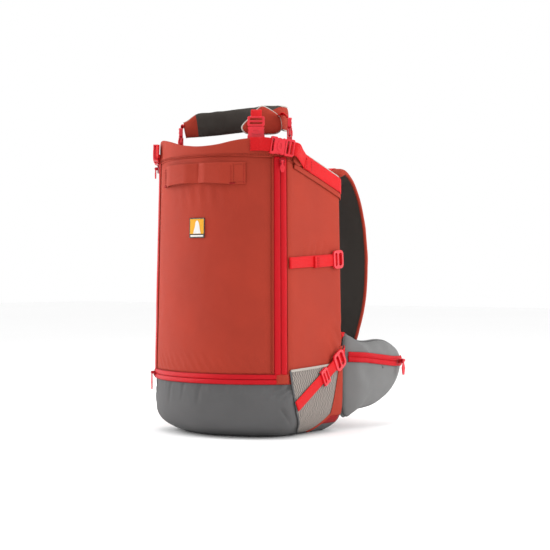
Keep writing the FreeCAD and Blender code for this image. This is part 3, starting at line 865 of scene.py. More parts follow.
def pillow(name, edge, half, matrix, materials, body, slot, pick=None, power=2.6):
    """A stuffed shape with an (x, z) outline: full at its middle and closing at its edge."""
    cx, cz = middle_of(edge)
    shares = [0.02, 0.2, 0.4, 0.56, 0.7, 0.8, 0.88, 0.94, 0.975, 1.0]
    rows = []
    for side in (-1, 1):
        order = shares if side < 0 else shares[::-1][1:]
        for r in order:
            depth = half * max(0.0, 1 - r ** power) ** (1 / power)
            row = []
            for x, z in edge:
                row.append(matrix @ Vector((cx + (x - cx) * r, side * depth, cz + (z - cz) * r)))
            rows.append(row)
    piece = grid(name, rows, materials, body, slot, closed=True, pick=pick)
    cap_ends(piece.data, len(edge), len(rows))
    return piece


def middle_of(edge):
    """The middle of an (x, z) outline's points."""
    return sum(p[0] for p in edge) / len(edge), sum(p[1] for p in edge) / len(edge)


def closed_line(points, count):
    """A smooth closed outline through points."""
    points = [Vector((x, 0, z)) for x, z in points]
    n = len(points)
    line = []
    for i in range(count):
        s = i * n / count
        p = catmull_rom(*(points[(int(s) + m) % n] for m in (-1, 0, 1, 2)), s - int(s))
        line.append((p.x, p.z))
    return line


# Zips.

def band_rise(t):
    """Across a zip, from 0 to 1: two rounded coated bands that meet in a groove."""
    for middle in (0.27, 0.73):
        reach = abs(t - middle) / 0.215
        if reach < 1:
            return 0.0019 * math.sqrt(1 - reach ** 2.4)
    return -0.0004


def zip_teeth_and_edge_shade(t):
    """The material across a zip: dark thread at its teeth in the middle, the same dark colour at its
    edges as painted shadow where the cloth overlaps, and else coated cloth.
    """
    return 1 if t < 0.045 or t > 0.955 or 0.485 < t < 0.515 else 0


def make_zips():
    """The two upright zips with their welts, and the one round the boot's top with its end tabs."""
    count = 45
    shares = [i / (count - 1) for i in range(count)]
    for side in (1, -1):
        rows = []
        for i in range(110):
            row = []
            for t in shares:
                u = U_TAPE + (U_TAPE_END - U_TAPE) * t
                top = seam_z(u) + 0.0020
                z = ZIP_BAND_TOP - 0.002 + (top - ZIP_BAND_TOP + 0.002) * i / 109
                wave = 0.0005 * ripple(u, z, 20.0, 0.06, 1.0)
                row.append(wall(side * u, z, band_rise(t) + wave - 0.0006))
            rows.append(row if side > 0 else row[::-1])
        label = "right" if side > 0 else "left"
        # The tape's dark edges are painted shadow.
        tape = grid("side_zip_" + label, rows, [zip_cloth, dark_red_thread_and_shade], "pack", "zip_tape",
                    thickness=0.001, pick=lambda i, j: zip_teeth_and_edge_shade((j + 0.5) / (count - 1)))
        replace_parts(tape, "side_zip_tapes")
        front, rear, sewn = side * (U_TAPE - 0.0012), side * (U_TAPE_END + 0.001), side * (U_TAPE - 0.005)
        sweep("zip_welt_" + label, wall_path([(front, ZIP_BAND_TOP), (front, 0.489)], 60, -0.0006),
              round_profile(0.0013), *RUST_CLOTH)
        sweep("zip_rear_welt_" + label, wall_path([(rear, BOOT_TOP), (rear, 0.485)], 60, -0.0008),
              round_profile(0.0010), *RUST_CLOTH)
        stitches("zip_stitches_" + label, wall_path([(sewn, 0.116), (sewn, 0.487)], 60, -0.0003),
                 rust_thread, "pack", "rust_fabric")
    rows = []
    for t in shares:
        row = []
        z = BOOT_TOP + (ZIP_BAND_TOP - BOOT_TOP) * t
        for j in range(140):
            u = -U_TAPE_END + 2 * U_TAPE_END * j / 139
            wave = 0.0005 * ripple(u, z, 23.0, 0.05, 1.0)
            row.append(wall(u, z, band_rise(t) + wave - 0.0004))
        rows.append(row)
    # The band's dark edges are painted shadow.
    low = grid("bottom_zip_band", rows, [zip_cloth, dark_red_thread_and_shade], "pack", "zip_tape", thickness=0.001,
               pick=lambda i, j: zip_teeth_and_edge_shade((i + 0.5) / (count - 1)))
    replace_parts(low, "bottom_zip_tape")
    for side, start, end in ((1, U_TAPE + 0.0035, U_TAPE_END + 0.001),
                             (-1, U_TAPE + 0.006, U_TAPE_END + 0.001)):
        rows = [[wall(side * u, z, 0.0024 if 0 < i < 7 and 0 < j < 9 else 0.0006)
                 for j, u in enumerate(span(start, end, 10)[::side])]
                for i, z in enumerate(span(BOOT_TOP + 0.0005, ZIP_BAND_TOP - 0.0002, 8))]
        label = "right" if side > 0 else "left"
        grid("zip_garage_" + label, rows, *RUST_CLOTH, thickness=0.0015)


# Sewn things on the front.

def make_loop():
    """The grab loop: a doubled cloth band, tacked at both ends and in the middle."""
    left, right = math.radians(-29) * FRONT_RADIUS, math.radians(27.5) * FRONT_RADIUS
    tacks = [math.radians(-27.2) * FRONT_RADIUS, 0.0, math.radians(20.5) * FRONT_RADIUS]
    rows = []
    for t in span(0, 1, 22):
        row = []
        for u in span(left, right, 130):
            lift = 0.0
            for a, b in zip(tacks, tacks[1:]):
                if a < u < b:
                    s = (u - a) / (b - a)
                    lift = 0.0066 * smoothstep(min(s, 1 - s) / 0.3)
            sag = 0.0022 * math.sin(math.pi * min(1, max(0, (u - tacks[0]) / (tacks[2] - tacks[0]))))
            bottom = LOOP_LOW + sag * 1.8
            z = bottom + (LOOP_HIGH - bottom) * t
            droop = 1 - 0.25 * (1 - abs(2 * t - 1) ** 2) * (lift > 0)
            edge = 0.0006 * (1 - abs(2 * t - 1) ** 8)
            fold = -0.0022 * math.exp(-((u - 0.002) / 0.0022) ** 2) * (0.4 + 0.6 * t)
            row.append(wall(u, z, 0.0007 + lift * droop + edge + fold * (lift < 0.001)
                            + 0.0005 * ripple(u, z, 31.0, 0.02)))
        rows.append(row)
    loop = grid("grab_loop", rows, *RUST_CLOTH, thickness=-0.0013)
    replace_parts(loop, "front_loop")
    sewn = [tacks[0] - 0.0022, tacks[0] + 0.0026, tacks[2] - 0.0022, tacks[2] + 0.003]
    for i, u in enumerate([*sewn, right - 0.003]):
        path = wall_path([(u, 0.443), (u, 0.477)], 12, 0.0026)
        stitches(f"loop_stitches_{i}", path, dark_red_thread_and_shade if i % 2 == 0 else rust_thread, "pack",
                 "rust_fabric", radius=0.00045)
    for i, u in enumerate(sewn):
        path = wall_path([(u - 0.0022, 0.4425), (u + 0.0022, 0.4425)], 6, 0.0030)
        sweep(f"loop_tack_{i}", path, webbing_profile(0.0028, 0.0009), [dark_red_thread_and_shade], "pack",
              "rust_fabric")
    for z in (0.4445, 0.4755):
        path = wall_path([(tacks[2] + 0.001, z), (right - 0.001, z)], 12, 0.0026)
        stitches(f"loop_end_stitches_{int(z * 1e4)}", path, rust_thread, "pack", "rust_fabric")


def on_wall(name, work, u0, z0, offset, materials, body, slot):
    """A flat drawing (x round the wall, y outwards, z up) wrapped on the wall."""
    for _ in range(7):
        bmesh.ops.triangulate(work, faces=work.faces[:])
        long_edges = [e for e in work.edges if e.calc_length() > 0.0025]
        if not long_edges:
            break
        bmesh.ops.subdivide_edges(work, edges=long_edges, cuts=1, use_grid_fill=True)
    for vertex in work.verts:
        x, y, z = vertex.co
        vertex.co = wall(u0 + x, z0 + z, offset + y)
    bmesh.ops.recalc_face_normals(work, faces=work.faces)
    mesh = bpy.data.meshes.new(name)
    work.to_mesh(mesh)
    work.free()
    layer = mesh.uv_layers.new(name="lengths")
    for polygon in mesh.polygons:
        for k, vertex in zip(polygon.loop_indices, polygon.vertices):
            co = mesh.vertices[vertex].co
            layer.data[k].uv = (co.x + co.y, co.z)
    return add_object(name, mesh, materials, body, slot)


def make_label():
    """A square woven label: a dark border, a yellow field and a plain white peak over a dark bar."""
    z0 = LABEL_Z
    border = plate(rounded(0.035, -0.0175, 0.0175, 0.0012), 0, 0.0006, bevel=0.0002)
    base = on_wall("label_border", border, 0, z0, 0.0005, [label_dark], "pack", "label")
    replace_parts(base, "front_label")
    field = plate(rounded(0.031, -0.0105, 0.0155, 0.0006), 0, 0.0005, bevel=0.0)
    on_wall("label_field", field, 0, z0, 0.0008, [label_yellow], "pack", "label")
    peak = [(-0.0085, -0.0100), (0.0085, -0.0100), (0.0062, -0.0020), (0.0052, 0.0040), (0.0030, 0.0105),
            (0.0010, 0.0128), (-0.0016, 0.0125), (-0.0036, 0.0090), (-0.0048, 0.0020), (-0.0066, -0.0030)]
    on_wall("label_peak", plate(peak, 0, 0.0005, bevel=0.0), 0.001, z0, 0.0011, [label_white], "pack",
            "label")
    bar = plate(rounded(0.029, -0.0155, -0.0125, 0.0008), 0, 0.0005, bevel=0.0)
    on_wall("label_bar", bar, 0, z0, 0.0008, [label_white], "pack", "label")
    square = [(-0.0163, z0 - 0.0163), (0.0163, z0 - 0.0163), (0.0163, z0 + 0.0163),
              (-0.0163, z0 + 0.0163), (-0.0163, z0 - 0.0163)]
    stitches("label_stitches", wall_path(square, 10, 0.0012), pale_thread, "pack", "label", length=0.0018,
             gap=0.0009, radius=0.00022)


# Buckles. Each is drawn with +Z out of its mouth and +Y outwards, with the same size as the frame's.
BUCKLE_WIDTH, BUCKLE_THICK, BUCKLE_HALF = 0.030, 0.009, 0.026
UP = Vector((0, 0, 1))
RIM_BUCKLE = (Vector((0.1451, -0.0633, 0.5045)), Vector((0.616, 0.788, -0.15)),
              Vector((0.788, -0.616, 0)))
BAND_BUCKLES = {
    "left": (Vector((-0.139, 0.0, 0.541)), UP, Vector((-0.75, -0.65, 0))),
    "front": (Vector((0.0975, -0.0805, 0.541)), UP, Vector((0.588, -0.809, 0))),
    "right": (Vector((0.127, -0.022, 0.541)), UP, Vector((0.809, 0.588, 0))),
}
BAND_ENDS = {"left": (-0.1235, -0.002, 0.560), "front": (0.0925, -0.072, 0.572),
             "right": (0.107, -0.019, 0.567)}


def oval(x, z, rx, rz, count=14):
    """An ellipse, as (x, z) points."""
    return [(x + rx * math.cos(2 * math.pi * i / count), z + rz * math.sin(2 * math.pi * i / count))
            for i in range(count)]


def socket_parts():
    """The female half: two waisted faces over the prongs, side rails, a webbing bar and a raised eye."""
    w, t, n = BUCKLE_WIDTH / 2, BUCKLE_THICK / 2, BUCKLE_HALF
    waist = w - 0.0028
    face = [(w, -n + 0.0015), (w, -n + 0.0105), (waist, -n + 0.0135), (waist, -0.0062),
            (w - 0.0006, -0.0034), (w - 0.0006, -0.0010), (w - 0.003, 0.0)]
    face = [(-x, z) for x, z in face] + [(x, z) for x, z in reversed(face)]
    slot_hole = rounded(2 * w - 0.008, -n + 0.003, -n + 0.0065, 0.0015)
    parts = [(plate(face, t - 0.0022, t, [slot_hole]), 0), (plate(face, -t, -t + 0.0022, [slot_hole]), 0)]
    for side in (-1, 1):
        rail = rounded(0.003, -n + 0.001, -n + 0.0105, 0.0012)
        parts.append((plate([(x + side * (w - 0.0016), z) for x, z in rail], -t + 0.0005, t - 0.0005), 0))
    parts.append((plate(rounded(2 * w - 0.005, -n + 0.0068, -n + 0.0095, 0.001), -t + 0.0008,
                        t - 0.0008), 0))
    eye = oval(0, -0.0085, 0.0088, 0.0052, 20)
    parts.append((plate(eye, t - 0.0004, t + 0.0010, [oval(0, -0.0085, 0.0052, 0.0026, 16)], 0.0004), 0))
    return parts


def tongue_parts():
    """The male half: a ladder frame, a middle guide and two prongs with rounded finger pads."""
    w, t, n = BUCKLE_WIDTH / 2, BUCKLE_THICK / 2, BUCKLE_HALF
    frame_edge = rounded(2 * w, 0.0006, n - 0.008, 0.0030)
    holes = [rounded(2 * w - 0.008, 0.0042, 0.0078, 0.0014),
             rounded(2 * w - 0.008, 0.0110, 0.0148, 0.0014)]
    parts = [(plate(frame_edge, -t + 0.0011, t - 0.0011, holes, 0.0008), 0)]
    for z in (0.0024, 0.0095, 0.0166):
        rib = rounded(2 * w - 0.009, z - 0.0007, z + 0.0007, 0.0006)
        parts.append((plate(rib, t - 0.0016, t - 0.0004, (), 0.0003), 0))
    for side in (-1, 1):
        prong = [(side * (w - 0.0072), 0.0006), (side * (w - 0.0036), 0.0006),
                 (side * (w - 0.0018), -0.0050), (side * (w - 0.0006), -0.0090),
                 (side * (w - 0.0012), -0.0128), (side * (w - 0.0056), -0.0142),
                 (side * (w - 0.0066), -0.0080)]
        if side < 0:
            prong = prong[::-1]
        parts.append((plate(prong, -t + 0.0026, t - 0.0026, (), 0.0005), 0))
    guide = rounded(0.004, -n + 0.0115, 0.0010, 0.0014)
    parts.append((plate(guide, -t + 0.0027, t - 0.0027, (), 0.0004), 0))
    return parts


def ladder_parts(width, low, high, slots, thick, corner=0.004):
    """A ladder lock: a rounded frame with slots."""
    return [(plate(rounded(width, low, high, corner, 6), 0, thick,
                   [rounded(width - 0.0095, a, b, (b - a) * 0.42, 5) for a, b in slots], 0.0008), 0)]


def strip(name, points, across, width, body, slot="red_webbing", materials=None, thickness=0.0017,
          steps=6):
    """A free length of webbing through points, with its width along a given direction."""
    line = smooth_line(points, steps * (len(points) - 1) + 1)
    frames = []
    for i, point in enumerate(line):
        along = (line[min(i + 1, len(line) - 1)] - line[max(i - 1, 0)]).normalized()
        side = Vector(across)
        side = (side - along * side.dot(along)).normalized()
        frames.append((point, side, side.cross(along).normalized()))
    return sweep(name, frames, webbing_profile(width, thickness), materials or [red_webbing], body, slot)


def along_buckle(buckle, distance):
    """A point on a buckle's line, counted from its mouth towards the tongue's side."""
    return buckle[0] + buckle[1].normalized() * distance


def rim_path(start, end, drop, offset, count):
    """Frames along the wall at a distance under the side's straight rim."""
    stations = [(u, blend_lines(RIM, wall(u, 0.49).y) - drop) for u in span(start, end, count)]
    return over_wall(stations, offset)


def make_rim():
    """Webbing along each side's rim, tightened by a side-release buckle at the front corner."""
    start = station(-0.0065, 0.49)
    run = sweep("rim_webbing_right", rim_path(start, U_SEAM + 0.006, 0.0150, 0.0009, 90),
                webbing_profile(RIM_WEBBING), *RED_STRAP)
    both_sides(run, "rim_strap_right")
    fold = sweep("rim_fold_right", rim_path(start + 0.001, start + 0.022, 0.0150, 0.0027, 14),
                 webbing_profile(0.0246), *RED_STRAP)
    both_sides(fold, None)
    for k, u in enumerate((start + 0.004, start + 0.019)):
        path = wall_path([(u, seam_z(u) + 0.004), (u, seam_z(u) + 0.024)], 10, 0.0047)
        both_sides(stitches(f"rim_fold_stitches_right_{k}", path, *DARK_STITCHES), None)
    binding = sweep("rim_binding_right", rim_path(start - 0.030, U_SEAM + 0.004, 0.0335, 0.0004, 80),
                    webbing_profile(0.0085, 0.0012), *RUST_CLOTH)
    both_sides(binding, None)
    place = local_matrix(*RIM_BUCKLE)
    socket = moulded("rim_buckle_socket_right", socket_parts(), place, *RED_MOULDING)
    both_sides(socket, "collar_buckle_sockets")
    tongue = moulded("rim_buckle_male_right", tongue_parts(), place, [red_plastic],
                     "rim_buckle_tongue_right", "red_plastic")
    both_sides(tongue, "rim_buckle_tongue_right")
    tongue_end = along_buckle(RIM_BUCKLE, 0.0125)
    begin = wall(start + 0.004, blend_lines(RIM, wall(start, 0.49).y) - 0.0165, 0.0014)
    line = smooth_line([tongue_end, along_buckle(RIM_BUCKLE, 0.024) + Vector((0.0004, 0, -0.0010)),
                        Vector((0.1535, -0.024, 0.4918)), begin], 26)
    turned = [RIM_BUCKLE[2].normalized().lerp(Vector((1, 0, 0)), smoothstep(i / 18)) for i in range(26)]
    leader = sweep("rim_leader_webbing_right", frames_along(line, turned), webbing_profile(0.0235),
                   *RED_STRAP)
    copy = mirrored(leader, "rim_leader_webbing_left", "pack")
    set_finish(copy, "red_webbing")
    for piece, label, side in ((leader, "right", 1), (copy, "left", -1)):
        piece.parent = None
        del piece["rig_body"]
        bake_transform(piece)
        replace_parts(piece, "rim_leader_" + label)
    socket_end = along_buckle(RIM_BUCKLE, -BUCKLE_HALF + 0.005)
    tab_line = [socket_end, Vector((0.1190, -0.0885, 0.5095)), Vector((0.1085, -0.0895, 0.5100)),
                Vector((0.0965, -0.0965, 0.5100))]
    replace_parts(strip("rim_tab_right", tab_line, UP, 0.0235, "pack"), "collar_tabs")
    left_line = [Vector((-p.x, p.y, p.z)) for p in (socket_end, Vector((0.1225, -0.0865, 0.5095)),
                                                    Vector((0.1190, -0.0855, 0.5095)))]
    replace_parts(strip("rim_tab_left", left_line, UP, 0.0235, "pack"), "collar_tabs")
    for k, turn in enumerate((30.2, 35.2)):
        path = wall_path([(FRONT_RADIUS * math.radians(turn), 0.500),
                          (FRONT_RADIUS * math.radians(turn), 0.520)],
                         10, 0.0042)
        stitches(f"rim_tab_stitches_{k}", path, *DARK_STITCHES)
    bend = [Vector((0.1497, -0.038, 0.489)), Vector((0.1492, -0.024, 0.4820)),
            Vector((0.1488, -0.010, 0.4850))]
    both_sides(strip("rim_fold_tail_right", bend, (0, 0.3, 1), 0.016, "pack", "rust_fabric", [rust],
                     0.0016), None)


def make_band_buckles():
    """The three upright buckles of the neck band, each with its foot on the collar and its leg."""
    feet = {
        "left": ((0, 1, 0), [(-0.139, 0, 0.518), (-0.1396, 0, 0.507), (-0.1412, 0, 0.498),
                             (-0.1414, 0, 0.482)]),
        "front": ((0.843, 0.537, 0), [(0.0975, -0.0805, 0.518), (0.0988, -0.0828, 0.507),
                                      (0.0996, -0.0842, 0.499), (0.0996, -0.0842, 0.484)]),
        "right": ((0, 1, 0), [(0.127, -0.022, 0.518), (0.133, -0.022, 0.507), (0.1395, -0.022, 0.499),
                              (0.1404, -0.022, 0.484)]),
    }
    for name, buckle in BAND_BUCKLES.items():
        place = local_matrix(*buckle)
        socket = moulded(f"band_socket_{name}", socket_parts(), place, *RED_MOULDING)
        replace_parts(socket, "collar_buckle_sockets")
        tongue = moulded(f"band_tongue_{name}", tongue_parts(), place, [red_plastic], "neck_band",
                         "red_plastic")
        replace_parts(tongue, "band_buckle_tongues")
        across, line = feet[name]
        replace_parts(strip(f"band_foot_{name}", line, across, FOOT_WEBBING, "pack"), "collar_tabs")
        side = buckle[2].cross(UP)
        start = along_buckle(buckle, BUCKLE_HALF - 0.0095)
        end = Vector(BAND_ENDS[name])
        middle = start.lerp(end, 0.55) + Vector((0, 0, 0.004))
        leg = strip(f"band_leg_{name}", [start, middle, end], side, FOOT_WEBBING, "neck_band")
        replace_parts(leg, "band_legs")


# Side straps and mesh pockets.

def make_sides():
    """The compression straps with their locks, and the mesh pockets under them."""
    upper = side_frames([(-0.0525, 0.3045), (0.122, 0.3140)], 40, 0.0009)
    strap = sweep("upper_strap_right", upper, webbing_profile(SIDE_WEBBING), *RED_STRAP)
    both_sides(strap, "side_straps")
    doubled = side_frames([(0.020, 0.3068), (0.092, 0.3115)], 16, 0.0029)
    both_sides(sweep("upper_strap_tail_right", doubled, webbing_profile(0.0205), *RED_STRAP),
               None)
    lip = side_frames([(0.0185, 0.3068), (0.0235, 0.3071)], 4, 0.0012)
    both_sides(sweep("upper_strap_fold_right", lip, webbing_profile(0.0208, 0.0042), *RED_STRAP), None)
    for k, y in enumerate((0.027, 0.031)):
        path = side_frames([(y, 0.2985), (y, 0.3155)], 10, 0.0050)
        both_sides(stitches(f"upper_strap_stitches_right_{k}", path, *DARK_STITCHES), None)
    width = wall(0.25, 0.312).x
    ring_place = local_matrix((width + 0.0028, 0.0915, 0.3122), (0, 1, 0.064), (1, 0, 0))
    parts = ladder_parts(0.033, -0.0145, 0.0165, [(-0.0100, -0.0030), (0.0012, 0.0122)], 0.0042, 0.008)
    ring = moulded("upper_lock_right", parts, ring_place, *RED_MOULDING)
    both_sides(ring, "side_strap_locks")

    low, high = (-0.040, 0.0556), (0.121, 0.1468)
    lower = side_frames([low, high], 60, 0.0034)
    strap = sweep("lower_strap_right", lower, webbing_profile(0.0195), *RED_STRAP)
    both_sides(strap, "side_straps")
    tail = side_frames([(0.036, 0.0986), (0.085, 0.1264)], 16, 0.0053)
    both_sides(sweep("lower_strap_tail_right", tail, webbing_profile(0.0198), *RED_STRAP), None)
    ring_place = local_matrix((wall(0.25, 0.13).x + 0.0050, 0.0905, 0.1300), (0, 0.87, 0.493), (1, 0, 0))
    parts = ladder_parts(0.034, -0.0165, 0.0165, [(-0.0105, -0.0025), (0.0015, 0.0115)], 0.0040, 0.009)
    ring = moulded("lower_lock_right", parts, ring_place, *RED_MOULDING)
    both_sides(ring, "side_strap_locks")
    glide_place = local_matrix((0.1576, 0.045, 0.1029), (0, 160, 92), (1, 0, 0))
    glide = ladder_parts(0.030, -0.010, 0.010, [(-0.0072, -0.0018), (0.0018, 0.0072)], 0.0026, 0.003)
    for side in (-1, 1):
        lug = rounded(0.0024, -0.0096, 0.0096, 0.0010)
        glide.append((plate([(x + side * 0.0137, z) for x, z in lug], -0.0026, 0.0008), 0))
    glide = moulded("strap_glide_right", glide, glide_place, [red_plastic], "side_strap_glide_right",
                    "red_plastic")
    both_sides(glide, "side_strap_glide_right")

    front_edge = [(0.004, 0.005), (0.014, -0.015), (0.044, -0.036), (0.092, -0.050), (0.118, -0.054)]
    rear_edge = [(0.004, 0.034), (0.020, 0.052), (0.034, 0.072), (0.074, 0.085), (0.106, 0.0945),
                 (0.124, 0.100)]
    rows = []
    for t in span(0, 1, 60):
        row = []
        for s in span(0, 1, 64):
            z = 0.0045 + (0.1135 + 0.006 * s) * t
            y0, y1 = blend_lines(front_edge, z), blend_lines(rear_edge, z)
            y = y0 + (y1 - y0) * s
            edge = min(t, 1.0, s, 1 - s)
            wave = 0.0006 * ripple(y, z, 40.0, 0.025)
            wave += 0.0007 * math.sin((y - z) * 190) * bump(z, 0.04, 0.04)
            row.append(wall(station(y, z), z, 0.0009 + (0.0010 + wave) * smoothstep(edge / 0.1)))
        rows.append(row)
    mesh = grid("mesh_pocket_right", rows, [side_mesh], "pack", "side_mesh", thickness=0.0008)
    both_sides(mesh, "mesh_pockets")
    top = side_frames([(-0.0535, 0.1180), (0.020, 0.1205), (0.100, 0.1240)], 24, 0.0016)
    both_sides(sweep("pocket_binding_right", top, webbing_profile(0.0045, 0.0012), [binding_cloth],
                     "pack", "grey_piping"), None)
    both_sides(stitches("pocket_binding_stitches_right", top_shift(top, 0.0013), pale_thread, "pack",
                        "grey_piping", radius=0.00045), None)
    for k, edge in enumerate((front_edge, rear_edge)):
        points = [(y, z) for z, y in edge]
        seam = side_frames(points, 16, 0.0014)
        both_sides(sweep(f"pocket_edge_right_{k}", seam, webbing_profile(0.0042, 0.0011),
                         [grey if k == 0 else rust], "pack", "grey_fabric"), None)
    rows = []
    for z in span(0.030, 0.155, 50):
        row = []
        for s in span(0, 1, 8):
            y0, y1 = blend_lines(rear_edge, z) + 0.001, blend_lines([(0.03, 0.108), (0.155, 0.116)], z)
            y = y0 + (y1 - y0) * s
            row.append(wall(station(y, z), z, 0.0008 + 0.0008 * math.sin(math.pi * s)))
        rows.append(row)
    both_sides(grid("rear_binding_right", rows, *RUST_CLOTH, thickness=0.001), None)
    # A dark red strip low at each side's rear, under the rust binding: painted shade of the back panel's
    # foot.
    rows = []
    for z in span(0.017, 0.030, 6):
        rows.append([wall(station(y, z), z, 0.0018)
                     for y in span(blend_lines(rear_edge, z) + 0.001, 0.100, 12)])
    both_sides(grid("foot_binding_right", rows, [dark_red_thread_and_shade], "pack", "red_webbing",
                    thickness=0.0012), None)


def top_shift(frames, distance):
    """The same frames, further out."""
    return [(point + out * distance, across, out) for point, across, out in frames]


# The neck band.

def make_neck_band():
    """The stuffed band over the mouth, with its pale edges and its short front flap."""
    line = [(-0.125, -0.005, 0.557), (-0.112, 0.012, 0.561), (-0.096, 0.032, 0.564),
            (-0.060, 0.052, 0.567), (-0.005, 0.060, 0.568), (0.048, 0.050, 0.568), (0.083, 0.027, 0.566),
            (0.0965, 0.004, 0.564), (0.0975, -0.016, 0.561), (0.0915, -0.034, 0.559)]
    points = smooth_line(line, 78)
    centre = Vector((-0.002, -0.02, 0.566))
    frames, scales = [], []
    for i, (point, across, out) in enumerate(frames_along(points, [p - centre for p in points])):
        s = i / (len(points) - 1)
        wave = 0.0022 * math.sin(s * 15) * smoothstep(min(s, 1 - s) / 0.15)
        wave += 0.0065 * bump(s, 0.36, 0.30) - 0.002 * (1 - smoothstep(s / 0.15))
        frames.append((point + Vector((0, 0, wave)), across, out))
        scales.append(0.66 + 0.34 * smoothstep(s / 0.16) - 0.30 * smoothstep((s - 0.80) / 0.20))
    profile = pad_profile(NECK_BAND_HEIGHT, NECK_BAND_THICK, 30, 3.0)
    band = sweep("neck_band_pad", frames, profile, [rust, dark_mesh], "neck_band", "dark_mesh",
                 pick=lambda j: 0 if profile[j][1] + profile[(j + 1) % 30][1] > 0.0045 else 1,
                 scales=scales)
    for polygon in band.data.polygons[:9 * 30]:
        polygon.material_index = 0
    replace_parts(band, "neck_band")
    wrinkle(band, 0.0012, 0.02, 3.0)
    for side in (1, -1):
        edge = []
        for (point, across, out), k in list(zip(frames, scales))[:66]:
            edge.append((point + across * (side * 0.0212 * k) + out * 0.0026, across, out))
        sweep(f"neck_band_piping_{'top' if side > 0 else 'low'}", edge, round_profile(0.0012),
              [piping_cloth], "neck_band", "grey_piping")

    place = local_matrix((0.089, -0.052, 0.556), UP, (0.90, -0.43, 0))
    corners = [(0.038, -0.012), (0.034, 0.006), (0.018, 0.017), (0.002, 0.0235), (-0.008, 0.0195),
               (-0.026, 0.001), (-0.040, -0.014), (-0.034, -0.024), (-0.016, -0.0265), (0.010, -0.0245),
               (0.030, -0.0215)]
    corners = [(-x, z) for x, z in corners][::-1]
    edge = closed_line(corners, 60)
    flap = pillow("neck_band_flap_pad", edge, 0.0056, place, [rust, dark_mesh], "neck_band",
                  "rust_fabric", pick=lambda i, j: 0 if i > 7 else 1, power=5.0)
    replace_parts(flap, "neck_band_flap")
    wrinkle(flap, 0.0009, 0.018, 6.0)
    ring = [place @ Vector((x, 0.0016, z)) for x, z in edge + edge[:1]]
    piping_frames = frames_along(ring, Vector((0.90, -0.43, 0)))
    sweep("flap_piping", piping_frames, round_profile(0.0013), [piping_cloth], "neck_band", "grey_piping")


def wrinkle(piece, size, grain, seed):
    """Small cloth unevenness over a stuffed piece, along its normals."""
    mesh = piece.data
    normals = [v.normal.copy() for v in mesh.vertices]
    for vertex, normal in zip(mesh.vertices, normals):
        amount = noise.noise(vertex.co / grain + Vector((seed, 0, 0)))
        amount += 0.5 * noise.noise(vertex.co / grain * 2.3 + Vector((0, seed, 0)))
        vertex.co += normal * (size * amount)


# The back: shoulder straps and hip wings.

def make_shoulder_straps():
    """The padded straps, the webbing on their faces, their locks and their anchors."""
    line = [(0.139, 0.462), (0.152, 0.471), (0.168, 0.475), (0.196, 0.455), (0.222, 0.412),
            (0.238, 0.352), (0.242, 0.300), (0.237, 0.240), (0.226, 0.190), (0.216, 0.160)]
    points = smooth_line([(SHOULDER_X, y, z) for y, z in line], 80)
    frames, scales = [], []
    middle = Vector((SHOULDER_X, 0.14, 0.31))
    for i, (point, across, out) in enumerate(frames_along(points, [p - middle for p in points])):
        s = i / 79
        frames.append((point, across, out))
        scales.append(0.70 + 0.30 * smoothstep(s / 0.14) - 0.26 * smoothstep((s - 0.74) / 0.26))
    profile = pad_profile(SHOULDER_WIDTH, SHOULDER_THICK, 34, 4.0)
    strap = sweep("shoulder_pad_right", frames, profile, [rust, dark_mesh], "shoulder_strap_right",
                  "dark_mesh", pick=lambda j: 0 if profile[j][1]
                  + profile[(j + 1) % 34][1] > -0.004 else 1, scales=scales)
    wrinkle(strap, 0.0010, 0.03, 9.0)
    pair = both_sides(strap, "shoulder_strap_right")
    for side in (1, -1):
        edge = [(point + across * (side * 0.0305 * k) - out * 0.0022, across, out)
                for (point, across, out), k in zip(frames, scales)]
        both_sides(sweep(f"shoulder_binding_right_{'a' if side > 0 else 'b'}", edge,
                         round_profile(0.0030), [rust], "shoulder_strap_right", "rust_fabric"), None)
    daisy = [(point + out * 0.0068, across, out) for (point, across, out) in frames[6:72]]
    both_sides(sweep("shoulder_daisy_right", daisy, webbing_profile(SIDE_WEBBING, 0.0014), [red_webbing],
                     "shoulder_strap_right", "red_webbing"), None)

    foot, end = Vector((SHOULDER_X, 0.131, 0.062)), points[-1]
    toward = (foot - end).normalized()
    normal = Vector((1, 0, 0)).cross(toward)
    lock = ladder_parts(0.032, 0.0, 0.024, [(0.006, 0.010), (0.014, 0.018)], 0.0050, 0.004)
    place = local_matrix(end + toward * 0.0015 - normal * 0.0025, toward, normal)
    both_sides(moulded("shoulder_ladder_right", lock, place, [red_plastic], "shoulder_strap_right",
                       "red_plastic"),
               "shoulder_lock_right")
    start, stop = end + toward * 0.019, foot - toward * 0.004
    webbing = strip("shoulder_webbing_strip_right",
                    [start, start.lerp(stop, 0.5) + Vector((0, 0.001, 0)), stop], (1, 0, 0), 0.020,
                    "shoulder_strap_right", steps=10)
    both_sides(webbing, "shoulder_webbing_right")

    yoke = [[Vector((SHOULDER_X + x, y, z)) for x in span(-0.021, 0.021, 14)]
            for y, z in ((0.1262, 0.436), (0.1268, 0.444), (0.1285, 0.452), (0.1330, 0.459),
                         (0.1400, 0.4635), (0.1480, 0.4680), (0.1530, 0.4700))]
    piece = grid("strap_anchor_right", yoke, *RUST_CLOTH, thickness=-0.0022, subdivide=1)
    both_sides(piece, "shoulder_anchors")
    foot_tab = [[Vector((SHOULDER_X + x, 0.1258 + 0.0010 * bump(z, 0.062, 0.014), z))
                 for x in span(-0.011, 0.011, 8)]
                for z in span(0.050, 0.074, 10)]
    both_sides(grid("strap_foot_tab_right", foot_tab, [red_webbing], "pack", "rust_fabric",
                    thickness=-0.0015), None)


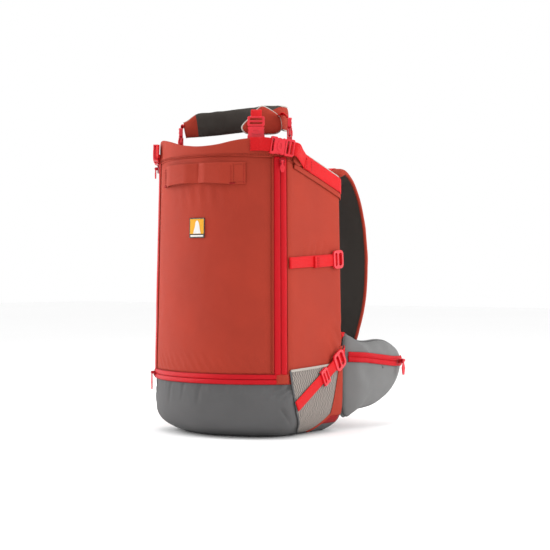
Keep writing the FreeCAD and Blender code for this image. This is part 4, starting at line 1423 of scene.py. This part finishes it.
WING_HINGE = Vector((0.131, 0.1325, 0))
WING_MATRIX = Matrix.Translation(WING_HINGE) @ Matrix.Rotation(math.radians(82), 4, "Z")
WING_HALF, POCKET_DEPTH = 0.006, 0.024
WING_EDGE = [(0, 0.030), (0.040, 0.034), (0.085, 0.040), (0.124, 0.057), (0.152, 0.083), (0.163, 0.112),
             (0.163, 0.128), (0.150, 0.146), (0.122, 0.160), (0.098, 0.163), (0.060, 0.161),
             (0.024, 0.167), (0, 0.170)]
POCKET_EDGE = [(0.001, 0.033), (0.040, 0.036), (0.085, 0.042), (0.122, 0.058), (0.149, 0.083),
               (0.161, 0.111), (0.161, 0.128), (0.148, 0.145), (0.121, 0.158), (0.098, 0.161),
               (0.060, 0.159), (0.024, 0.164), (0.001, 0.166)]
HIP_ZIP = [(0.008, 0.1335), (0.040, 0.1315), (0.080, 0.1265), (0.120, 0.1215), (0.145, 0.1205),
           (0.157, 0.1215)]


def pocket_share(x, z, edge):
    """How far out a point lies in the pocket's outline: 0 at its middle and 1 at its edge."""
    cx, cz = middle_of(edge)
    dx, dz = x - cx, z - cz
    best = 1e9
    for (x0, z0), (x1, z1) in zip(edge, edge[1:] + edge[:1]):
        ex, ez = x1 - x0, z1 - z0
        cross = dx * ez - dz * ex
        if abs(cross) < 1e-12:
            continue
        t = ((x0 - cx) * ez - (z0 - cz) * ex) / cross
        s = ((x0 - cx) * dz - (z0 - cz) * dx) / cross
        if t > 0 and -1e-6 <= s <= 1 + 1e-6:
            best = min(best, t)
    return min(1.0, 1 / best) if best < 1e8 else 0.0


def pocket_face(x, z, share):
    """How far the pocket's cloth stands off the wing: full, but drawn in along the zip and creased."""
    dome = max(0.0, 1 - share ** 3.4) ** 0.5
    root = 0.72 + 0.28 * smoothstep(x / 0.03)
    zip_z = blend_lines(HIP_ZIP, x)
    valley = 0.0022 * math.exp(-((z - zip_z) / 0.0075) ** 2)
    crease = 0.0052 * math.exp(-((x - 0.028 - (zip_z - z) * 0.55) / 0.007) ** 2) * bump(z, 0.100, 0.036)
    crease += 0.0034 * math.exp(-((x - 0.047 - (zip_z - z) * 0.35) / 0.006) ** 2) * bump(z, 0.108, 0.026)
    top = 0.0016 * math.sin(x * 175 + 0.8) * bump(z, 0.150, 0.020)
    wave = 0.0012 * noise.noise(Vector((x / 0.030, z / 0.030, 3.3)))
    return WING_HALF - 0.001 + dome * (POCKET_DEPTH * root * 0.98 - valley - crease + top + wave)


def make_hip_wings():
    """The hip wings with their zipped pockets, and the waist belt with its buckle."""
    edge = closed_line(WING_EDGE[:-1] + [(0.0, 0.166)], 90)
    edge = [(max(-0.001, x), z) for x, z in edge]
    pad = pillow("hip_wing_pad_right", edge, WING_HALF, WING_MATRIX, [wing_grey, dark_mesh],
                 "hip_wing_right", "grey_fabric", pick=lambda i, j: 1 if i > 10 else 0, power=7.0)
    wrinkle(pad, 0.0006, 0.03, 2.0)
    for piece in both_sides(pad, "hip_wing_right"):
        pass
    edge = closed_line(POCKET_EDGE, 110)
    cx, cz = middle_of(edge)
    rows = []
    for r in (0.01, 0.1, 0.2, 0.3, 0.4, 0.5, 0.58, 0.66, 0.73, 0.79, 0.84, 0.885, 0.92, 0.95, 0.972,
              0.988, 1.0):
        row = []
        for x, z in edge:
            px, pz = cx + (x - cx) * r, cz + (z - cz) * r
            row.append(WING_MATRIX @ Vector((px, -pocket_face(px, pz, r), pz)))
        rows.append(row)
    pocket = grid("hip_pocket_cloth_right", rows, [wing_grey], "hip_wing_right", "pocket_fabric",
                  closed=True, thickness=-0.0012, subdivide=1)
    for piece in both_sides(pocket, "hip_pocket_right"):
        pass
    shares = span(0, 1, 31)
    rows = []
    for t in shares:
        row = []
        for x in span(0.005, 0.1575, 90):
            z = blend_lines(HIP_ZIP, x) - 0.0095 + 0.019 * t
            share = pocket_share(x, z, edge)
            lift = band_rise(t) * 0.8 + 0.0002
            row.append(WING_MATRIX @ Vector((x + 0.001 * share,
                                             -pocket_face(x, z, share) - lift - 0.0013, z)))
        rows.append(row)
    # The band's dark edges are painted shadow.
    tape = grid("hip_zip_band_right", rows, [zip_cloth, dark_red_thread_and_shade], "hip_wing_right", "zip_tape",
                thickness=-0.0008, pick=lambda i, j: zip_teeth_and_edge_shade((i + 0.5) / 30))
    both_sides(tape, "hip_zip_tape_right")
    ring = [WING_MATRIX @ Vector((x, -WING_HALF - 0.0008, z)) for x, z in edge[:]]
    seam_frames = frames_along(ring + ring[:1], WING_MATRIX.to_3x3() @ Vector((0, -1, 0)))
    both_sides(sweep("hip_pocket_seam_right", seam_frames, round_profile(0.0013), [grey],
                     "hip_wing_right", "grey_fabric"), None)
    line = [(0.146, 0.0072), (0.160, 0.009), (0.166, 0.026), (0.158, 0.048), (0.138, 0.072),
            (0.112, 0.092)]
    points = [WING_MATRIX @ Vector((x, y, 0.121)) for x, y in line]
    belt = strip("waist_belt_right", points, UP, 0.036, "hip_wing_right", steps=8)
    both_sides(belt, "waist_webbing_right")
    end, before = points[-1], points[-2]
    way = (end - before).normalized()
    facing = UP.cross(way)
    socket = moulded("waist_buckle_socket", socket_parts(),
                     local_matrix(end + way * (BUCKLE_HALF + 0.001), way, facing), [red_plastic],
                     "hip_wing_right", "red_plastic")
    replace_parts(socket, "waist_socket")
    left_end, left_way = Vector((-end.x, end.y, end.z)), Vector((-way.x, way.y, 0))
    place = local_matrix(left_end + left_way * (BUCKLE_HALF - 0.007), -left_way, facing)
    tongue = moulded("waist_buckle_tongue", tongue_parts(), place, [red_plastic], "hip_wing_left",
                     "red_plastic")
    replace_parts(tongue, "waist_tongue")
    tab = [WING_MATRIX @ Vector(p) for p in ((0.003, -0.002, 0.166), (0.003, -0.006, 0.173),
                                             (0.003, -0.001, 0.177), (0.003, 0.003, 0.170))]
    both_sides(strip("wing_tab_right", tab, WING_MATRIX.to_3x3() @ Vector((1, 0, 0)), 0.012,
                     "hip_wing_right"), None)


# Sliders and pulls, drawn with +Z up and +Y outwards.

def slider_parts(level):
    """A slider with its bridge, for a zip that runs level or upright."""
    half_x, half_z = (0.007, 0.0045) if level else (0.0045, 0.007)
    if level:
        edge = rounded(2 * half_x, -half_z, half_z, 0.003)
    else:
        edge = [(0.0045, 0.0055), (0.003, 0.007), (-0.003, 0.007), (-0.0045, 0.0055), (-0.0030, -0.007),
                (0.0030, -0.007)]
    parts = [(plate(edge, 0.0005, 0.0022, (), 0.0005), 0), (plate(edge, 0.0027, 0.0042, (), 0.0005), 0)]
    for x in (-0.0036, 0.0036):
        parts.append((plate(rounded(0.0012, -0.001, 0.004, 0.0004), 0.0040, 0.0084, (), 0.0002), 0))
        for vertex in parts[-1][0].verts:
            vertex.co.x += x
    bar = bmesh.new()
    turn = Matrix.Translation((0, 0.0074, 0.0015)) @ Matrix.Rotation(math.pi / 2, 4, "Y")
    bmesh.ops.create_cone(bar, cap_ends=True, segments=14, radius1=0.0009, radius2=0.0009, depth=0.0074,
                          matrix=turn)
    parts.append((bar, 0))
    return parts


def pull_parts(length):
    """A moulded pull: a waisted tab with grip ribs, hung by an eye."""
    half = [(0.0016, 0.0012), (0.0016, -0.004), (0.0045, -0.5 * length), (0.0022, -length)]
    edge = [(-x, z) for x, z in half] + [(x, z) for x, z in reversed(half)]
    parts = [(plate(edge, 0.0062, 0.0086, (), 0.0007), 0)]
    for k in range(3):
        z = -0.42 * length - k * 0.0026
        rib = rounded(0.0048 - 0.0006 * k, z - 0.0005, z + 0.0005, 0.0004)
        parts.append((plate(rib, 0.0082, 0.0091, (), 0.0), 0))
    eye = bmesh.new()
    turn = Matrix.Translation((0, 0.0074, 0.0015)) @ Matrix.Rotation(math.pi / 2, 4, "Y")
    outer = [eye.verts.new(turn @ Vector((0.0024 * math.cos(a), 0.0024 * math.sin(a), z)))
             for z in (-0.002, 0.002) for a in (2 * math.pi * i / 16 for i in range(16))]
    inner = [eye.verts.new(turn @ Vector((0.0012 * math.cos(a), 0.0012 * math.sin(a), z)))
             for z in (-0.002, 0.002) for a in (2 * math.pi * i / 16 for i in range(16))]
    for i in range(16):
        k = (i + 1) % 16
        for ring, other in ((outer, False), (inner, True)):
            loop = [ring[i], ring[k], ring[16 + k], ring[16 + i]]
            eye.faces.new(loop[::-1] if other else loop)
        for base in (0, 16):
            loop = [outer[base + i], outer[base + k], inner[base + k], inner[base + i]]
            eye.faces.new(loop if base else loop[::-1])
    parts.append((eye, 0))
    return parts


def zip_unit(name, place, level, pull_length):
    """One slider and its hanging pull, in place of the frame's."""
    node = name.replace("_pull", "_slider")
    slider = moulded("slider_" + name, slider_parts(level), place, [slider_metal], node, "slider_metal")
    pull = moulded("pull_" + name, pull_parts(pull_length), place, [red_plastic],
                   node.replace("_slider", "_pull"), "red_plastic")
    return slider, pull


def make_pulls():
    """Every zip's slider and pull, parked as at rest."""
    low, high = wall(U_FRONT, ZIP_BAND_TOP), wall(U_FRONT, 0.478)
    facing = outward(U_FRONT)
    side_place = local_matrix(high, high - low, facing)
    depth = -(WING_HALF + POCKET_DEPTH + 0.0014)
    start = WING_MATRIX @ Vector((0.138, depth, 0.121))
    hip_place = local_matrix(start, UP, WING_MATRIX.to_3x3() @ Vector((0, -1, 0)))
    for name, place, level, length in (("side_zip_slider_right", side_place, False, 0.017),
                                       ("hip_zip_slider_right", hip_place, True, 0.026)):
        slider, pull = zip_unit(name, place, level, length)
        both_sides(slider, name)
        both_sides(pull, name.replace("_slider", "_pull"))
    turn = math.radians(-44)
    facing = Vector((math.sin(turn), -math.cos(turn), 0))
    point = facing * (FRONT_RADIUS * shrink(0.104))
    place = local_matrix((point.x, AXIS_Y + point.y, 0.104), UP, facing)
    slider, pull = zip_unit("bottom_zip_slider", place, True, 0.030)
    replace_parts(slider, "bottom_zip_slider")
    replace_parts(pull, "bottom_zip_pull")


def paint(node, material):
    """Gives a rigid CAD piece its finish."""
    mesh = frame["nodes"][node].data
    mesh.materials.clear()
    mesh.materials.append(material)


def softbox(name, place, aim, size, power):
    """A white lamp with a soft rectangular face, aimed at a place."""
    light = bpy.data.lights.new(name, "AREA")
    light.shape = "RECTANGLE"
    light.size, light.size_y = size
    light.energy = power
    lamp = bpy.data.objects.new(name, light)
    lamp.location = place
    lamp.rotation_euler = (Vector(aim) - Vector(place)).to_track_quat("-Z", "Y").to_euler()
    bpy.context.scene.collection.objects.link(lamp)


def make_studio():
    """A pale floor, a white room, three softboxes and the camera."""
    mesh = bpy.data.meshes.new("studio_floor")
    mesh.from_pydata([(-9, -9, 0), (9, -9, 0), (9, 9, 0), (-9, 9, 0)], [], [(0, 1, 2, 3)])
    floor = bpy.data.objects.new("studio_floor", mesh)
    bpy.context.scene.collection.objects.link(floor)
    s = Shade("studio_floor")
    place = s.add("ShaderNodeTexCoord").outputs["Object"]
    tone = s.ramp(s.noise(place, 0.6, 2.0), [(0.2, (0.955, 0.955, 0.955)), (0.8, (0.975, 0.975, 0.975))])
    grain = s.bump(s.noise(place, 300.0, 2.0), 0.05, 0.0002)
    mesh.materials.append(s.finish(tone, 0.9, grain, 0, None, 0.1))
    world = bpy.data.worlds.new("studio")
    world.use_nodes = True
    background = world.node_tree.nodes["Background"]
    background.inputs["Color"].default_value = (1, 1, 1, 1)
    background.inputs["Strength"].default_value = 1.0
    bpy.context.scene.world = world
    middle = (0, 0.05, 0.30)
    softbox("left_softbox", (-1.9, -0.55, 0.8), middle, (1.0, 1.6), 30)
    softbox("right_softbox", (1.7, 1.0, 0.8), middle, (0.9, 1.4), 20)
    softbox("top_softbox", (0.2, -0.2, 2.2), middle, (1.2, 1.2), 13)
    camera = bpy.data.cameras.new("camera")
    camera.lens = CAMERA_LENS
    camera.sensor_width = 36
    camera.clip_start, camera.clip_end = 0.1, 60
    holder = bpy.data.objects.new("camera", camera)
    holder.location = CAMERA_PLACE
    holder.rotation_euler = (math.radians(90), 0, math.radians(CAMERA_TURN))
    bpy.context.scene.collection.objects.link(holder)
    bpy.context.scene.camera = holder
    bpy.context.scene.view_settings.view_transform = "Standard"


make_panels()
make_collar()
make_rim_piping()
make_boot()
make_back()
make_insides()
make_zips()
make_loop()
make_label()
make_rim()
make_band_buckles()
make_sides()
make_neck_band()
make_shoulder_straps()
make_hip_wings()
make_pulls()
paint("frame_sheet", frame_plastic)
paint("frame_stays", stay_metal)
make_studio()
